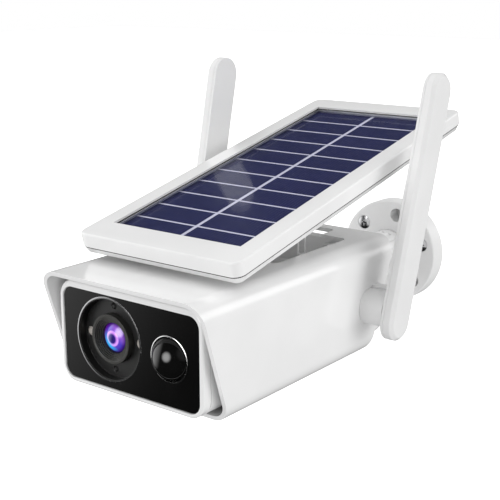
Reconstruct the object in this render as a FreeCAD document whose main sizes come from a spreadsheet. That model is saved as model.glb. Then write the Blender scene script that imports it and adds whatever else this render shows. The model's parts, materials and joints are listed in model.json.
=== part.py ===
import FreeCAD, Part
import math
import operator
import os
import Sketcher

# Solar-powered security camera on a ball-joint wall bracket.
# Millimetres. The origin is the centre of the bracket's back face, +Z is up and the
# camera looks towards -Y. A "reach" is a distance out from the wall, so y = -reach.

DIMENSIONS = {
    # wall bracket
    "base_radius": 33.3, "base_depth": 14.4, "base_wall": 2.6, "base_round": 1.2,
    "plate_thickness": 2.5, "fastener_circle": 25.0, "wall_hole_radius": 2.25,
    "counterbore_radius": 4.4, "base_screw_radius": 1.5, "base_head_radius": 4.2,
    # ball joint: ball, nylon seat, clamp ring, neck and post
    "ball_reach": 27.0, "ball_radius": 9.5, "seat_thickness": 1.45, "running_gap": 0.05,
    "socket_radius": 11.9, "socket_reach": 24.0, "ring_radius": 14.2, "ring_mouth": 8.6,
    "neck_radius": 4.0, "post_radius": 8.0, "post_rear": 42.0, "post_front": 88.0,
    "stud_radius": 3.1, "stud_front": 109.0, "nut_radius": 11.0, "nut_depth": 8.0,
    # camera case, a rounded tube with a well in its top
    "case_width": 92.8, "case_height": 52.8, "case_middle": 2.1, "case_corner": 9.0,
    "case_wall": 2.4, "case_rear": 101.0, "case_front": 250.0, "cap_thickness": 3.5,
    "well_half_width": 31.5, "well_front": 183.0, "well_rear": 120.0, "well_floor": 10.5,
    "slot_half_width": 19.0, "slot_rear": 106.0,
    # hood, a sleeve cut on a slant at both ends
    "hood_width": 104.2, "hood_top": 33.7, "hood_bottom": -28.2, "hood_corner": 10.5,
    "hood_wall": 2.3, "hood_front_top": 263.6, "hood_front_bottom": 243.4,
    "hood_rear_top": 97.0, "hood_rear_bottom": 120.7,
    "opening_half_width": 34.5, "opening_front": 185.0, "opening_rear": 119.0,
    "notch_half_width": 17.5, "notch_rear": 104.5, "opening_round": 4.0,
    # front face
    "glass_reach": 255.0, "glass_width": 88.0, "glass_height": 47.0, "glass_middle": 1.5,
    "glass_corner": 6.0, "glass_thickness": 3.0, "bezel_proud": 0.8,
    "lens_x": -13.8, "lens_z": 2.5, "lens_well_radius": 21.2, "lens_well_depth": 4.4,
    "barrel_radius": 12.4, "lens_radius": 7.7, "led_offset": 16.5, "sensor_offset": 16.1,
    "led_radius": 2.4, "pir_x": 25.5, "pir_z": 1.5, "pir_radius": 11.4, "pir_height": 7.0,
    # support arm between the well and the panel
    "arm_reach": 138.5, "arm_pivot_z": 20.5, "arm_length": 23.6, "arm_width": 36.0,
    "arm_depth": 8.0, "arm_neck_width": 26.0, "knuckle_radius": 5.0, "pin_radius": 1.95,
    # solar panel, measured from its hinge along and across its own plane
    "panel_tilt": 12.78, "panel_width": 103.2, "panel_length": 220.7, "panel_corner": 5.5,
    "frame_depth": 7.4, "shell_depth": 3.7, "parting_gap": 0.3, "hinge_drop": 13.7,
    "hinge_from_front": 96.3, "window_width": 82.4, "window_front": 16.5,
    "window_rear": 14.8, "window_lip": 1.3, "glass_lap": 2.5, "pane_thickness": 2.0,
    "panel_screw_radius": 1.25, "panel_screw_length": 5.0, "panel_screw_inset": 5.6, "tray_border": 9.0,
    "cell_columns": 2, "cell_rows": 11, "cell_gap": 1.0, "column_gap": 2.0,
    # antennas
    "hub_radius": 9.75, "hub_reach": 123.6, "hub_end": 65.7, "paddle_inner": 66.0,
    "paddle_edge": 71.5, "paddle_outer": 73.5, "paddle_radius": 10.0, "paddle_tail": 5.6,
    "paddle_length": 118.6, "right_lean": 17.0, "left_lean": 12.0, "pivot_radius": 4.0,
    # inside the case
    "cell_radius": 9.2, "cell_length": 65.0, "cell_pitch": 19.5, "cell_count": 4,
    "pack_reach": 156.75, "board_thickness": 1.6, "port_reach": 110.0, "port_width": 34.0,
    "port_depth": 8.0, "button_radius": 1.5, "speaker_x": -27.0, "speaker_z": -3.0,
}

DOC = FreeCAD.newDocument("solar_camera")
NODES = {}


class Size:
    """A number together with the spreadsheet formula that gives it."""

    def __init__(self, value, text):
        self.value = value
        self.text = text

    def _join(self, other, symbol, work, turned=False):
        number, text = parts_of(other)
        if turned:
            return Size(work(number, self.value), f"({text} {symbol} {self.text})")
        return Size(work(self.value, number), f"({self.text} {symbol} {text})")

    def __add__(self, other):
        return self._join(other, "+", operator.add)

    def __radd__(self, other):
        return self._join(other, "+", operator.add, True)

    def __sub__(self, other):
        return self._join(other, "-", operator.sub)

    def __rsub__(self, other):
        return self._join(other, "-", operator.sub, True)

    def __mul__(self, other):
        return self._join(other, "*", operator.mul)

    def __rmul__(self, other):
        return self._join(other, "*", operator.mul, True)

    def __truediv__(self, other):
        return self._join(other, "/", operator.truediv)

    def __neg__(self):
        return Size(-self.value, f"(-1 * {self.text})")


def parts_of(size):
    """The number and the formula of a Size or of a plain number."""
    if isinstance(size, Size):
        return size.value, size.text
    return float(size), repr(float(size))


def number(size):
    """Plain number held by a size or given as one."""
    return parts_of(size)[0]


class Sizes:
    """The driving dimensions, read by name from the spreadsheet."""

    def __init__(self, table):
        sheet = DOC.addObject("Spreadsheet::Sheet", "dims")
        for row, (alias, value) in enumerate(table.items(), start=1):
            sheet.set(f"A{row}", alias)
            sheet.set(f"B{row}", str(value))
            sheet.setAlias(f"B{row}", alias)
        DOC.recompute()
        self.sheet = sheet

    def __getattr__(self, alias):
        return Size(float(self.sheet.get(alias)), f"dims.{alias}")


D = Sizes(DIMENSIONS)


# ---------------------------------------------------------------- general helpers

def bind(obj, prop, size):
    """Drives a property from the sheet, or sets it when the size is a plain number."""
    obj.setExpression(prop, parts_of(size)[1])


def place(obj, at=(0, 0, 0), axis=(0, 0, 1), angle=0):
    """Puts an object at a point, turned about an axis by a bound angle."""
    turn = FreeCAD.Rotation(FreeCAD.Vector(*axis), number(angle))
    obj.Placement = FreeCAD.Placement(FreeCAD.Vector(*[number(v) for v in at]), turn)
    for letter, value in zip("xyz", at):
        bind(obj, f"Placement.Base.{letter}", value)
    if isinstance(angle, Size):
        bind(obj, "Placement.Rotation.Angle", angle)
    return obj


def node(obj, name):
    """Names a finished sub-part, which becomes one file."""
    obj.Label = name
    NODES[name] = obj
    return obj


def box(name, low, high):
    """A box between two corners."""
    solid = DOC.addObject("Part::Box", name)
    for side, a, b in zip(("Length", "Width", "Height"), low, high):
        bind(solid, side, b - a)
    return place(solid, low)


ALONG = {
    "x": ((0, 1, 0), 90), "-x": ((0, 1, 0), -90), "y": ((1, 0, 0), -90),
    "-y": ((1, 0, 0), 90), "z": ((0, 0, 1), 0), "-z": ((1, 0, 0), 180),
}


def cylinder(name, radius, length, at, along="z"):
    """A cylinder from a point along one of the axes."""
    solid = DOC.addObject("Part::Cylinder", name)
    bind(solid, "Radius", radius)
    bind(solid, "Height", length)
    return place(solid, at, *ALONG[along])


def cone(name, radius, end_radius, length, at, along="z"):
    """Cone frustum that starts at a point and grows along an axis."""
    solid = DOC.addObject("Part::Cone", name)
    bind(solid, "Radius1", radius)
    bind(solid, "Radius2", end_radius)
    bind(solid, "Height", length)
    return place(solid, at, *ALONG[along])


def sphere(name, radius, at):
    """Ball around a point."""
    solid = DOC.addObject("Part::Sphere", name)
    bind(solid, "Radius", radius)
    return place(solid, at)


def fuse(name, shapes):
    """Union of several shapes."""
    joined = DOC.addObject("Part::MultiFuse", name)
    joined.Shapes = shapes
    return joined


def cut(name, base, tools):
    """Takes one or several shapes away from a base."""
    result = DOC.addObject("Part::Cut", name)
    result.Base = base
    result.Tool = tools[0] if len(tools) == 1 else fuse(f"{name}_tools", tools)
    return result


def carried(name, shape):
    """Wraps a placed shape so that the wrap can be moved as a whole."""
    wrap = DOC.addObject("Part::Compound", name)
    wrap.Links = [shape]
    return wrap


def common(name, base, tool):
    """What two shapes share."""
    result = DOC.addObject("Part::Common", name)
    result.Base = base
    result.Tool = tool
    return result


def group(name, shapes):
    """Several separate solids of one kind, kept in one node."""
    several = DOC.addObject("Part::Compound", name)
    several.Links = shapes
    return node(several, name)


# ---------------------------------------------------------------- PartDesign helpers

def body(name):
    """Empty design body."""
    return DOC.addObject("PartDesign::Body", name)


def sketch(owner, name, plane, offset=0):
    """A sketch on one of the body's own origin planes, moved along the plane's normal."""
    drawing = owner.newObject("Sketcher::SketchObject", name)
    support = [f for f in owner.Origin.OriginFeatures if f.Role == f"{plane}_Plane"]
    drawing.AttachmentSupport = [(support[0], "")]
    drawing.MapMode = "FlatFace"
    bind(drawing, "AttachmentOffset.Base.z", offset)
    return drawing


def fix(drawing, kind, where, size, name):
    """Adds a dimension to a sketch and binds it; a zero distance lies on the axis."""
    value = number(size)
    if kind == "DistanceX" and abs(value) < 1e-9:
        drawing.addConstraint(Sketcher.Constraint("PointOnObject", where[2], where[3], -2))
        return
    if kind == "DistanceY" and abs(value) < 1e-9:
        drawing.addConstraint(Sketcher.Constraint("PointOnObject", where[2], where[3], -1))
        return
    index = drawing.addConstraint(Sketcher.Constraint(kind, *where, value))
    drawing.renameConstraint(index, name)
    bind(drawing, f"Constraints.{name}", size)


def outline(drawing, points):
    """A closed run of straight lines with every corner bound to the sheet."""
    first = drawing.GeometryCount
    flat = [FreeCAD.Vector(number(u), number(v), 0) for u, v in points]
    for i, start in enumerate(flat):
        drawing.addGeometry(Part.LineSegment(start, flat[(i + 1) % len(flat)]))
    for i, (u, v) in enumerate(points):
        line = first + i
        after = first + (i + 1) % len(points)
        drawing.addConstraint(Sketcher.Constraint("Coincident", line, 2, after, 1))
        fix(drawing, "DistanceX", (-1, 1, line, 1), u, f"u{line}")
        fix(drawing, "DistanceY", (-1, 1, line, 1), v, f"v{line}")


def circle(drawing, u, v, radius):
    """Circle on a drawing."""
    index = drawing.addGeometry(
        Part.Circle(FreeCAD.Vector(number(u), number(v), 0), FreeCAD.Vector(0, 0, 1), number(radius))
    )
    fix(drawing, "Radius", (index,), radius, f"radius{index}")
    fix(drawing, "DistanceX", (-1, 1, index, 3), u, f"u{index}")
    fix(drawing, "DistanceY", (-1, 1, index, 3), v, f"v{index}")


def rectangle(drawing, left, right, bottom, top):
    """Upright rectangle on a drawing."""
    outline(drawing, [(left, bottom), (right, bottom), (right, top), (left, top)])


def rounded_rectangle(drawing, left, right, bottom, top, radius):
    """Four lines joined by four equal tangent arcs, run anticlockwise."""
    first = drawing.GeometryCount
    x0, x1, y0, y1, r = (number(v) for v in (left, right, bottom, top, radius))
    vector = FreeCAD.Vector
    sides = [
        (vector(x0 + r, y0), vector(x1 - r, y0), vector(x1 - r, y0 + r), -90),
        (vector(x1, y0 + r), vector(x1, y1 - r), vector(x1 - r, y1 - r), 0),
        (vector(x1 - r, y1), vector(x0 + r, y1), vector(x0 + r, y1 - r), 90),
        (vector(x0, y1 - r), vector(x0, y0 + r), vector(x0 + r, y0 + r), 180),
    ]
    for start, end, centre, angle in sides:
        drawing.addGeometry(Part.LineSegment(start, end))
        ring = Part.Circle(centre, vector(0, 0, 1), r)
        low = math.radians(angle)
        drawing.addGeometry(Part.ArcOfCircle(ring, low, low + math.pi / 2))
    for i in range(8):
        after = first + (i + 1) % 8
        drawing.addConstraint(Sketcher.Constraint("Tangent", first + i, 2, after, 1))
    for i, kind in enumerate(("Horizontal", "Vertical", "Horizontal", "Vertical")):
        drawing.addConstraint(Sketcher.Constraint(kind, first + 2 * i))
    for i in (3, 5, 7):
        drawing.addConstraint(Sketcher.Constraint("Equal", first + 1, first + i))
    fix(drawing, "Radius", (first + 1,), radius, f"radius{first}")
    fix(drawing, "DistanceY", (-1, 1, first, 1), bottom, f"bottom{first}")
    fix(drawing, "DistanceX", (-1, 1, first + 2, 1), right, f"right{first}")
    fix(drawing, "DistanceY", (-1, 1, first + 4, 1), top, f"top{first}")
    fix(drawing, "DistanceX", (-1, 1, first + 6, 1), left, f"left{first}")


def pad(owner, drawing, length, reverse=False, taper=None):
    """Extrudes a drawing into a solid."""
    feature = owner.newObject("PartDesign::Pad", f"{drawing.Name}_pad")
    feature.Profile = drawing
    bind(feature, "Length", length)
    feature.Reversed = reverse
    if taper is not None:
        bind(feature, "TaperAngle", taper)
    return feature


def pocket(owner, drawing, length=None, reverse=False, both_ways=False):
    """Cuts to a bound depth, or right through when no depth is given."""
    feature = owner.newObject("PartDesign::Pocket", f"{drawing.Name}_pocket")
    feature.Profile = drawing
    feature.Reversed = reverse
    if length is None:
        feature.Type = "ThroughAll"
        feature.Midplane = both_ways
    else:
        bind(feature, "Length", length)
    return feature


def revolve(owner, drawing, axis="H_Axis"):
    """Turns a drawing about an axis into a solid."""
    feature = owner.newObject("PartDesign::Revolution", f"{drawing.Name}_turned")
    feature.Profile = drawing
    feature.ReferenceAxis = (drawing, [axis])
    return feature


def edges_where(feature, test):
    """The names of the edges of a feature whose middle point and direction pass a test."""
    DOC.recompute()
    chosen = []
    for index, edge in enumerate(feature.Shape.Edges, start=1):
        middle = edge.valueAt((edge.FirstParameter + edge.LastParameter) / 2)
        if test(edge, middle):
            chosen.append(f"Edge{index}")
    return chosen


def fillet(owner, feature, test, radius):
    """Rounds the edges that a test picks."""
    rounding = owner.newObject("PartDesign::Fillet", f"{feature.Name}_round")
    rounding.Base = (feature, edges_where(feature, test))
    bind(rounding, "Radius", radius)
    return rounding


def chamfer(owner, feature, test, size):
    """Bevels the edges that a test picks."""
    bevel = owner.newObject("PartDesign::Chamfer", f"{feature.Name}_bevel")
    bevel.Base = (feature, edges_where(feature, test))
    bind(bevel, "Size", size)
    return bevel


def in_plane(axis, value, slack=0.01):
    """A test for edges that lie wholly in one plane square to an axis."""
    def test(edge, middle):
        box_of_edge = edge.BoundBox
        low = getattr(box_of_edge, f"{axis.upper()}Min")
        high = getattr(box_of_edge, f"{axis.upper()}Max")
        return abs(low - number(value)) < slack and abs(high - number(value)) < slack
    return test


def on_circle(radius, degrees):
    """A point on a circle about the wall bracket's axis, bound to the sheet."""
    angle = math.radians(degrees)
    return radius * round(math.cos(angle), 6), radius * round(math.sin(angle), 6)


WALL_HOLE_ANGLES = (78, 198, 318)
BASE_SCREW_ANGLES = (18, 138, 258)


def cross_head_screw(name, at, along, head_radius, head_height, shank_radius, length):
    """A pan-head cross-recess screw whose head stands back from the point it is put at."""
    head = cylinder(f"{name}_head", head_radius, head_height, (0, 0, -head_height))
    shank = cylinder(f"{name}_shank", shank_radius, length, (0, 0, 0))
    arm = head_radius * 0.58
    wing = head_radius * 0.15
    depth = head_height * 0.6
    slots = [
        box(f"{name}_slot_a", (-arm, -wing, -head_height), (arm, wing, depth - head_height)),
        box(f"{name}_slot_b", (-wing, -arm, -head_height), (wing, arm, depth - head_height)),
    ]
    return place(cut(name, fuse(f"{name}_blank", [head, shank]), slots), at, *ALONG[along])


# ---------------------------------------------------------------- wall bracket

def wall_base_cover():
    """Round front shell with the ball socket, three wall-screw wells and three screw seats."""
    shell = body("base_shell")
    profile = sketch(shell, "base_profile", "YZ")
    inner = D.base_radius - D.base_wall
    back = -(D.base_depth - D.base_wall - 0.4)
    outline(profile, [
        (-D.socket_reach, 0), (-D.socket_reach, D.socket_radius), (-D.base_depth, D.socket_radius),
        (-D.base_depth, D.base_radius), (-D.plate_thickness, D.base_radius),
        (-D.plate_thickness, inner), (back, inner), (back, 0),
    ])
    turned = revolve(shell, profile)
    rim = in_plane("y", -D.base_depth)
    outer = number(D.base_radius) - 0.5
    fillet(shell, turned, lambda e, m: rim(e, m) and e.BoundBox.XMax > outer, D.base_round)
    wells, drills = [], []
    for index, angle in enumerate(WALL_HOLE_ANGLES):
        x, z = on_circle(D.fastener_circle, angle)
        wells.append(cylinder(f"well_{index}", D.counterbore_radius + 1.4,
                              D.base_depth - 1 - D.plate_thickness,
                              (x, -D.plate_thickness, z), "-y"))
        drills.append(cylinder(f"well_bore_{index}", D.counterbore_radius, D.base_depth - 4.5,
                               (x, -4.5, z), "-y"))
        drills.append(cylinder(f"well_hole_{index}", D.wall_hole_radius, D.base_depth, (x, 0, z), "-y"))
    for index, angle in enumerate(BASE_SCREW_ANGLES):
        x, z = on_circle(D.fastener_circle, angle)
        drills.append(cylinder(f"seat_{index}", D.base_head_radius + 0.25, 2, (x, 2 - D.base_depth, z), "-y"))
        drills.append(cylinder(f"seat_hole_{index}", D.base_screw_radius + 0.2, D.base_depth, (x, -5, z), "-y"))
    ball_room = sphere("ball_room", D.ball_radius + D.seat_thickness + 2 * D.running_gap,
                       (0, -D.ball_reach, 0))
    node(cut("cover_cut", fuse("cover_solid", [shell] + wells), drills + [ball_room]), "wall_base_cover")


def wall_base_plate():
    """Flat back plate with three posts that the assembly screws bite into."""
    disc = cylinder("plate_disc", D.base_radius - D.base_wall - 0.2, D.plate_thickness, (0, 0, 0), "-y")
    posts, holes = [], []
    for index, angle in enumerate(BASE_SCREW_ANGLES):
        x, z = on_circle(D.fastener_circle, angle)
        posts.append(cylinder(f"plate_post_{index}", D.counterbore_radius - 0.4,
                              D.base_depth - D.base_wall - 0.5, (x, 0, z), "-y"))
        holes.append(cylinder(f"plate_bore_{index}", D.base_screw_radius + D.running_gap,
                              D.base_depth, (x, -D.plate_thickness, z), "-y"))
    for index, angle in enumerate(WALL_HOLE_ANGLES):
        x, z = on_circle(D.fastener_circle, angle)
        holes.append(cylinder(f"plate_hole_{index}", D.wall_hole_radius, D.base_depth, (x, 1, z), "-y"))
    node(cut("plate_cut", fuse("plate_solid", [disc] + posts), holes), "wall_base_plate")


def base_screws():
    """Wall screws through the base, their heads in the cover."""
    screws = []
    for index, angle in enumerate(BASE_SCREW_ANGLES):
        x, z = on_circle(D.fastener_circle, angle)
        screws.append(cross_head_screw(f"base_screw_{index}", (x, 2 - D.base_depth, z), "y",
                                       D.base_head_radius, 2.2, D.base_screw_radius, 8))
    group("base_screws", screws)


def clamp_ring():
    """Knurled ring on the socket; its lip holds the ball and its mouth flares for the neck."""
    ring = body("ring_body")
    profile = sketch(ring, "ring_profile", "YZ")
    rear = -(D.base_depth + 0.6)
    step = -(D.ball_reach + 0.3)
    front = -(D.ball_reach + 6.7)
    bore = D.socket_radius + 0.1
    outline(profile, [
        (rear, bore), (step, bore), (step, D.ring_mouth), (front + 2.5, D.ring_mouth),
        (front, D.ring_mouth + 3.4), (front, D.ring_radius - 1), (front + 1, D.ring_radius),
        (rear, D.ring_radius),
    ])
    revolve(ring, profile)
    grip = sketch(ring, "ring_grip", "XZ", D.ball_reach - 6)
    circle(grip, 0, D.ring_radius + 0.7, 1.3)
    notch = pocket(ring, grip, 15, reverse=True)
    pattern = ring.newObject("PartDesign::PolarPattern", "ring_grips")
    pattern.Originals = [notch]
    y_axis = [f for f in ring.Origin.OriginFeatures if f.Role == "Y_Axis"]
    pattern.Axis = (y_axis[0], [""])
    pattern.Angle = 360
    pattern.Occurrences = 18
    ring.Tip = pattern
    ball_room = sphere("ring_ball_room", D.ball_radius + D.running_gap, (0, -D.ball_reach, 0))
    node(cut("ring_cut", ring, [ball_room]), "clamp_ring")


def ball_seat():
    """Nylon cup behind the ball, spherical inside and out."""
    centre = (0, -D.ball_reach, 0)
    outer = sphere("seat_outer", D.ball_radius + D.seat_thickness, centre)
    inner = sphere("seat_inner", D.ball_radius + D.running_gap, centre)
    half = 2 * D.ball_radius
    front = box("seat_front", (-half, -D.ball_reach - half, -half), (half, 3.3 - D.ball_reach, half))
    node(cut("seat_cut", outer, [inner, front]), "ball_seat")


def ball_stud():
    """Ball, neck and post turned as one piece, with a threaded hole in the post's front."""
    ball = sphere("stud_ball", D.ball_radius, (0, -D.ball_reach, 0))
    neck = cylinder("stud_neck", D.neck_radius, D.post_rear - D.ball_reach, (0, -D.ball_reach, 0), "-y")
    flare = cone("stud_flare", D.neck_radius, D.post_radius, 4, (0, -D.post_rear, 0), "-y")
    post = cylinder("stud_post", D.post_radius, D.post_front - D.post_rear - 5,
                    (0, -D.post_rear - 4, 0), "-y")
    tip = cone("stud_tip", D.post_radius, D.post_radius - 1, 1, (0, 1 - D.post_front, 0), "-y")
    hole = cylinder("stud_hole", D.stud_radius, 16, (0, 15 - D.post_front, 0), "-y")
    node(cut("stud_cut", fuse("stud_solid", [ball, neck, flare, post, tip]), [hole]), "ball_stud")


def stud_screw():
    """Quarter-inch stud that joins the post to the camera."""
    rod = cylinder("rod", D.stud_radius - 0.03, D.stud_front - D.post_front + 14,
                   (0, 14 - D.post_front, 0), "-y")
    tip = cone("rod_tip", D.stud_radius - 0.03, D.stud_radius - 0.8, 0.8, (0, -D.stud_front, 0), "-y")
    node(fuse("rod_solid", [rod, tip]), "stud_screw")


def lock_nut():
    """Knurled nut that locks the camera on the stud."""
    nut = body("nut_body")
    face = sketch(nut, "nut_face", "XZ", D.post_front + 0.4)
    circle(face, 0, 0, D.nut_radius)
    circle(face, 0, 0, D.stud_radius + D.running_gap)
    pad(nut, face, D.nut_depth)
    grip = sketch(nut, "nut_grip", "XZ", D.post_front + 0.4 + D.nut_depth)
    circle(grip, 0, D.nut_radius + 0.8, 1.9)
    notch = pocket(nut, grip)
    pattern = nut.newObject("PartDesign::PolarPattern", "nut_grips")
    pattern.Originals = [notch]
    y_axis = [f for f in nut.Origin.OriginFeatures if f.Role == "Y_Axis"]
    pattern.Axis = (y_axis[0], [""])
    pattern.Angle = 360
    pattern.Occurrences = 8
    nut.Tip = pattern
    node(nut, "lock_nut")


# ---------------------------------------------------------------- camera housing

def case_sides():
    """Left, right, bottom and top of the case's outline."""
    return (-D.case_width / 2, D.case_width / 2,
            D.case_middle - D.case_height / 2, D.case_middle + D.case_height / 2)


def case():
    """Rounded tube with a well in the top for the arm, lugs for its pin and screw posts."""
    left, right, bottom, top = case_sides()
    wall = D.case_wall
    tube = body("case_tube")
    outside = sketch(tube, "case_outside", "XZ", D.case_rear)
    rounded_rectangle(outside, left, right, bottom, top, D.case_corner)
    rounded_rectangle(outside, left + wall, right - wall, bottom + wall, top - wall, D.case_corner - wall)
    pad(tube, outside, D.case_front - D.case_rear)
    floor = D.well_floor - wall
    block = [
        box("well_block", (-D.well_half_width - wall, -D.well_front - wall, floor),
            (D.well_half_width + wall, wall - D.well_rear, top)),
        box("slot_block", (-D.slot_half_width - wall, -D.well_rear, floor),
            (D.slot_half_width + wall, wall - D.slot_rear, top)),
    ]
    hollow = [
        box("well_hollow", (-D.well_half_width, -D.well_front, D.well_floor),
            (D.well_half_width, -D.well_rear, top + 1)),
        box("slot_hollow", (-D.slot_half_width, -D.well_rear - 1, D.well_floor),
            (D.slot_half_width, -D.slot_rear, top + 1)),
    ]
    rails = [
        box(f"rail_{side}", (side * 39.5 - 1.5, -D.case_front + 12, top - 0.5),
            (side * 39.5 + 1.5, -D.case_rear - 8, D.hood_top - D.hood_wall - 0.1))
        for side in (-1, 1)
    ]
    lug_inner = D.arm_width / 2 + 0.4
    lugs = []
    for side in (-1, 1):
        x = lug_inner if side > 0 else -lug_inner - 4
        lugs.append(box(f"lug_{side}", (x, -D.arm_reach - 5, floor + 1),
                        (x + 4, 5 - D.arm_reach, D.arm_pivot_z + 4.5)))
    posts = [
        cylinder(f"cap_post_{index}", 4, 12, (x, -D.case_rear, z), "-y")
        for index, (x, z) in enumerate(cap_screw_places())
    ]
    drills = [
        cylinder(f"cap_post_hole_{index}", 1.5, 10, (x, -D.case_rear, z), "-y")
        for index, (x, z) in enumerate(cap_screw_places())
    ]
    drills.append(cylinder("pin_hole", D.pin_radius + D.running_gap, D.arm_width + 10,
                           (-D.arm_width / 2 - 5, -D.arm_reach, D.arm_pivot_z), "x"))
    drills.append(cylinder("hub_hole", D.hub_radius - 4.2, D.case_width + 2,
                           (-D.case_width / 2 - 1, -D.hub_reach, 0), "x"))
    drills.append(box("port_hole", (-D.port_width / 2, -D.port_reach - D.port_depth / 2, bottom - 1),
                      (D.port_width / 2, D.port_depth / 2 - D.port_reach, bottom + wall + 1)))
    shell = cut("case_open", fuse("case_walls", [tube] + block), hollow)
    node(cut("case_cut", fuse("case_solid", [shell] + rails + lugs + posts), drills), "case")


def cap_screw_places():
    """Where the four rear-cap screws go, well inside the case's corners."""
    side = D.case_width / 2 - 6.4
    low = D.case_middle - D.case_height / 2 + 6.4
    high = D.case_middle + D.case_height / 2 - 6.4
    return [(-side, low), (side, low), (-side, high), (side, high)]


def rear_cap():
    """Back cover with a stepped plug, the stud's boss, screw seats and the speaker grille."""
    left, right, bottom, top = case_sides()
    wall = D.case_wall + 0.15
    cap = body("cap_body")
    outer_rear = D.case_rear - D.cap_thickness
    face = sketch(cap, "cap_face", "XZ", outer_rear)
    rounded_rectangle(face, left, right, bottom, top, D.case_corner)
    plate = pad(cap, face, D.cap_thickness)
    fillet(cap, plate, in_plane("y", -outer_rear), D.cap_thickness - 1)
    plug = sketch(cap, "cap_plug", "XZ", D.case_rear)
    rounded_rectangle(plug, left + wall, right - wall, bottom + wall, top - wall, D.case_corner - wall)
    rounded_rectangle(plug, left + wall + 2, right - wall - 2, bottom + wall + 2, top - wall - 2, 4.4)
    pad(cap, plug, 2.5)
    boss = sketch(cap, "cap_boss", "XZ", D.case_rear - 1)
    circle(boss, 0, 0, 8)
    pad(cap, boss, 10)
    bore = sketch(cap, "cap_bore", "XZ", outer_rear)
    circle(bore, 0, 0, 5.5)
    pocket(cap, bore, 12.6, reverse=True)
    drills = []
    for index, (x, z) in enumerate(cap_screw_places()):
        drills.append(cylinder(f"cap_hole_{index}", 1.7, 20, (x, -D.case_rear + 8, z), "-y"))
        drills.append(cylinder(f"cap_seat_{index}", 3, 1.8, (x, -outer_rear - 1.8, z), "y"))
        drills.append(cylinder(f"cap_relief_{index}", 4.2, 6, (x, -D.case_rear, z), "-y"))
    for index in range(6):
        x, z = on_circle(D.ball_radius / 2, 60 * index)
        drills.append(cylinder(f"grille_{index}", 0.8, 12,
                               (x + D.speaker_x, -90, z + D.speaker_z), "-y"))
    drills.append(cylinder("grille_middle", 0.8, 12, (D.speaker_x, -90, D.speaker_z), "-y"))
    node(cut("cap_cut", cap, drills), "rear_cap")


def rear_cap_screws():
    """Screws that hold the rear cap on the case."""
    seat = 1.8 - (D.case_rear - D.cap_thickness)
    screws = [
        cross_head_screw(f"cap_screw_{index}", (x, seat - 3.6, z), "-y", 2.8, 1.6, 1.45, 9)
        for index, (x, z) in enumerate(cap_screw_places())
    ]
    group("rear_cap_screws", screws)


def threaded_insert():
    """Brass thread in the back of the case, where the mount screws in."""
    rear = D.case_rear - D.cap_thickness
    tube = cylinder("insert_tube", 5.45, 12, (0, -rear - 0.3, 0), "-y")
    bore = cylinder("insert_bore", D.stud_radius + D.running_gap, 20, (0, 0.5 - rear, 0), "-y")
    node(cut("insert_cut", tube, [bore]), "threaded_insert")


def hood():
    """Rounded sleeve, slanted at both ends, with a keyhole opening over the arm."""
    half = D.hood_width / 2
    wall = D.hood_wall
    sleeve = body("hood_body")
    section = sketch(sleeve, "hood_section", "XZ", D.hood_rear_top)
    rounded_rectangle(section, -half, half, D.hood_bottom, D.hood_top, D.hood_corner)
    rounded_rectangle(section, wall - half, half - wall, D.hood_bottom + wall, D.hood_top - wall,
                      D.hood_corner - wall)
    pad(sleeve, section, D.hood_front_top - D.hood_rear_top)
    front = sketch(sleeve, "hood_front_slant", "YZ")
    outline(front, [
        (-D.hood_front_top, D.hood_top), (-D.hood_front_bottom, D.hood_bottom),
        (-D.hood_front_bottom, D.hood_bottom - 5), (-D.hood_front_top - 5, D.hood_bottom - 5),
        (-D.hood_front_top - 5, D.hood_top),
    ])
    pocket(sleeve, front, both_ways=True)
    rear = sketch(sleeve, "hood_rear_slant", "YZ")
    outline(rear, [
        (-D.hood_rear_top, D.hood_top), (-D.hood_rear_bottom, D.hood_bottom),
        (-D.hood_rear_bottom, D.hood_bottom - 5), (5 - D.hood_rear_top, D.hood_bottom - 5),
        (5 - D.hood_rear_top, D.hood_top),
    ])
    pocket(sleeve, rear, both_ways=True)
    wide = sketch(sleeve, "hood_opening", "XY", D.hood_top + 1)
    rounded_rectangle(wide, -D.opening_half_width, D.opening_half_width, -D.opening_front,
                      -D.opening_rear, D.opening_round)
    pocket(sleeve, wide, 6)
    narrow = sketch(sleeve, "hood_notch", "XY", D.hood_top + 1)
    rounded_rectangle(narrow, -D.notch_half_width, D.notch_half_width, -D.opening_rear - 8,
                      -D.notch_rear, D.opening_round)
    pocket(sleeve, narrow, 6)
    sides = sketch(sleeve, "hood_hub_holes", "YZ")
    circle(sides, -D.hub_reach, 0, D.hub_radius - 4.2)
    pocket(sleeve, sides, both_ways=True)
    node(sleeve, "hood")


def front_bezel():
    """White surround that plugs into the case and frames the dark glass."""
    left, right, bottom, top = case_sides()
    front = D.glass_reach + D.bezel_proud
    half_width = D.glass_width / 2 + 0.1
    half_height = D.glass_height / 2 + 0.1
    ring = body("bezel_body")
    outside = sketch(ring, "bezel_outside", "XZ", D.case_front + 0.3)
    rounded_rectangle(outside, left, right, bottom, top, D.case_corner)
    block = pad(ring, outside, front - D.case_front - 0.3)
    fillet(ring, block, in_plane("y", -front), 1.2)
    window = sketch(ring, "bezel_window", "XZ", front)
    rounded_rectangle(window, -half_width, half_width, D.glass_middle - half_height,
                      D.glass_middle + half_height, D.glass_corner)
    pocket(ring, window, D.glass_thickness + D.bezel_proud)
    aperture = sketch(ring, "bezel_aperture", "XZ", front)
    rounded_rectangle(aperture, -half_width + 2, half_width - 2, D.glass_middle - half_height + 1.5,
                      D.glass_middle + half_height - 1.5, D.glass_corner - 2)
    pocket(ring, aperture)
    node(ring, "front_bezel")


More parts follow.
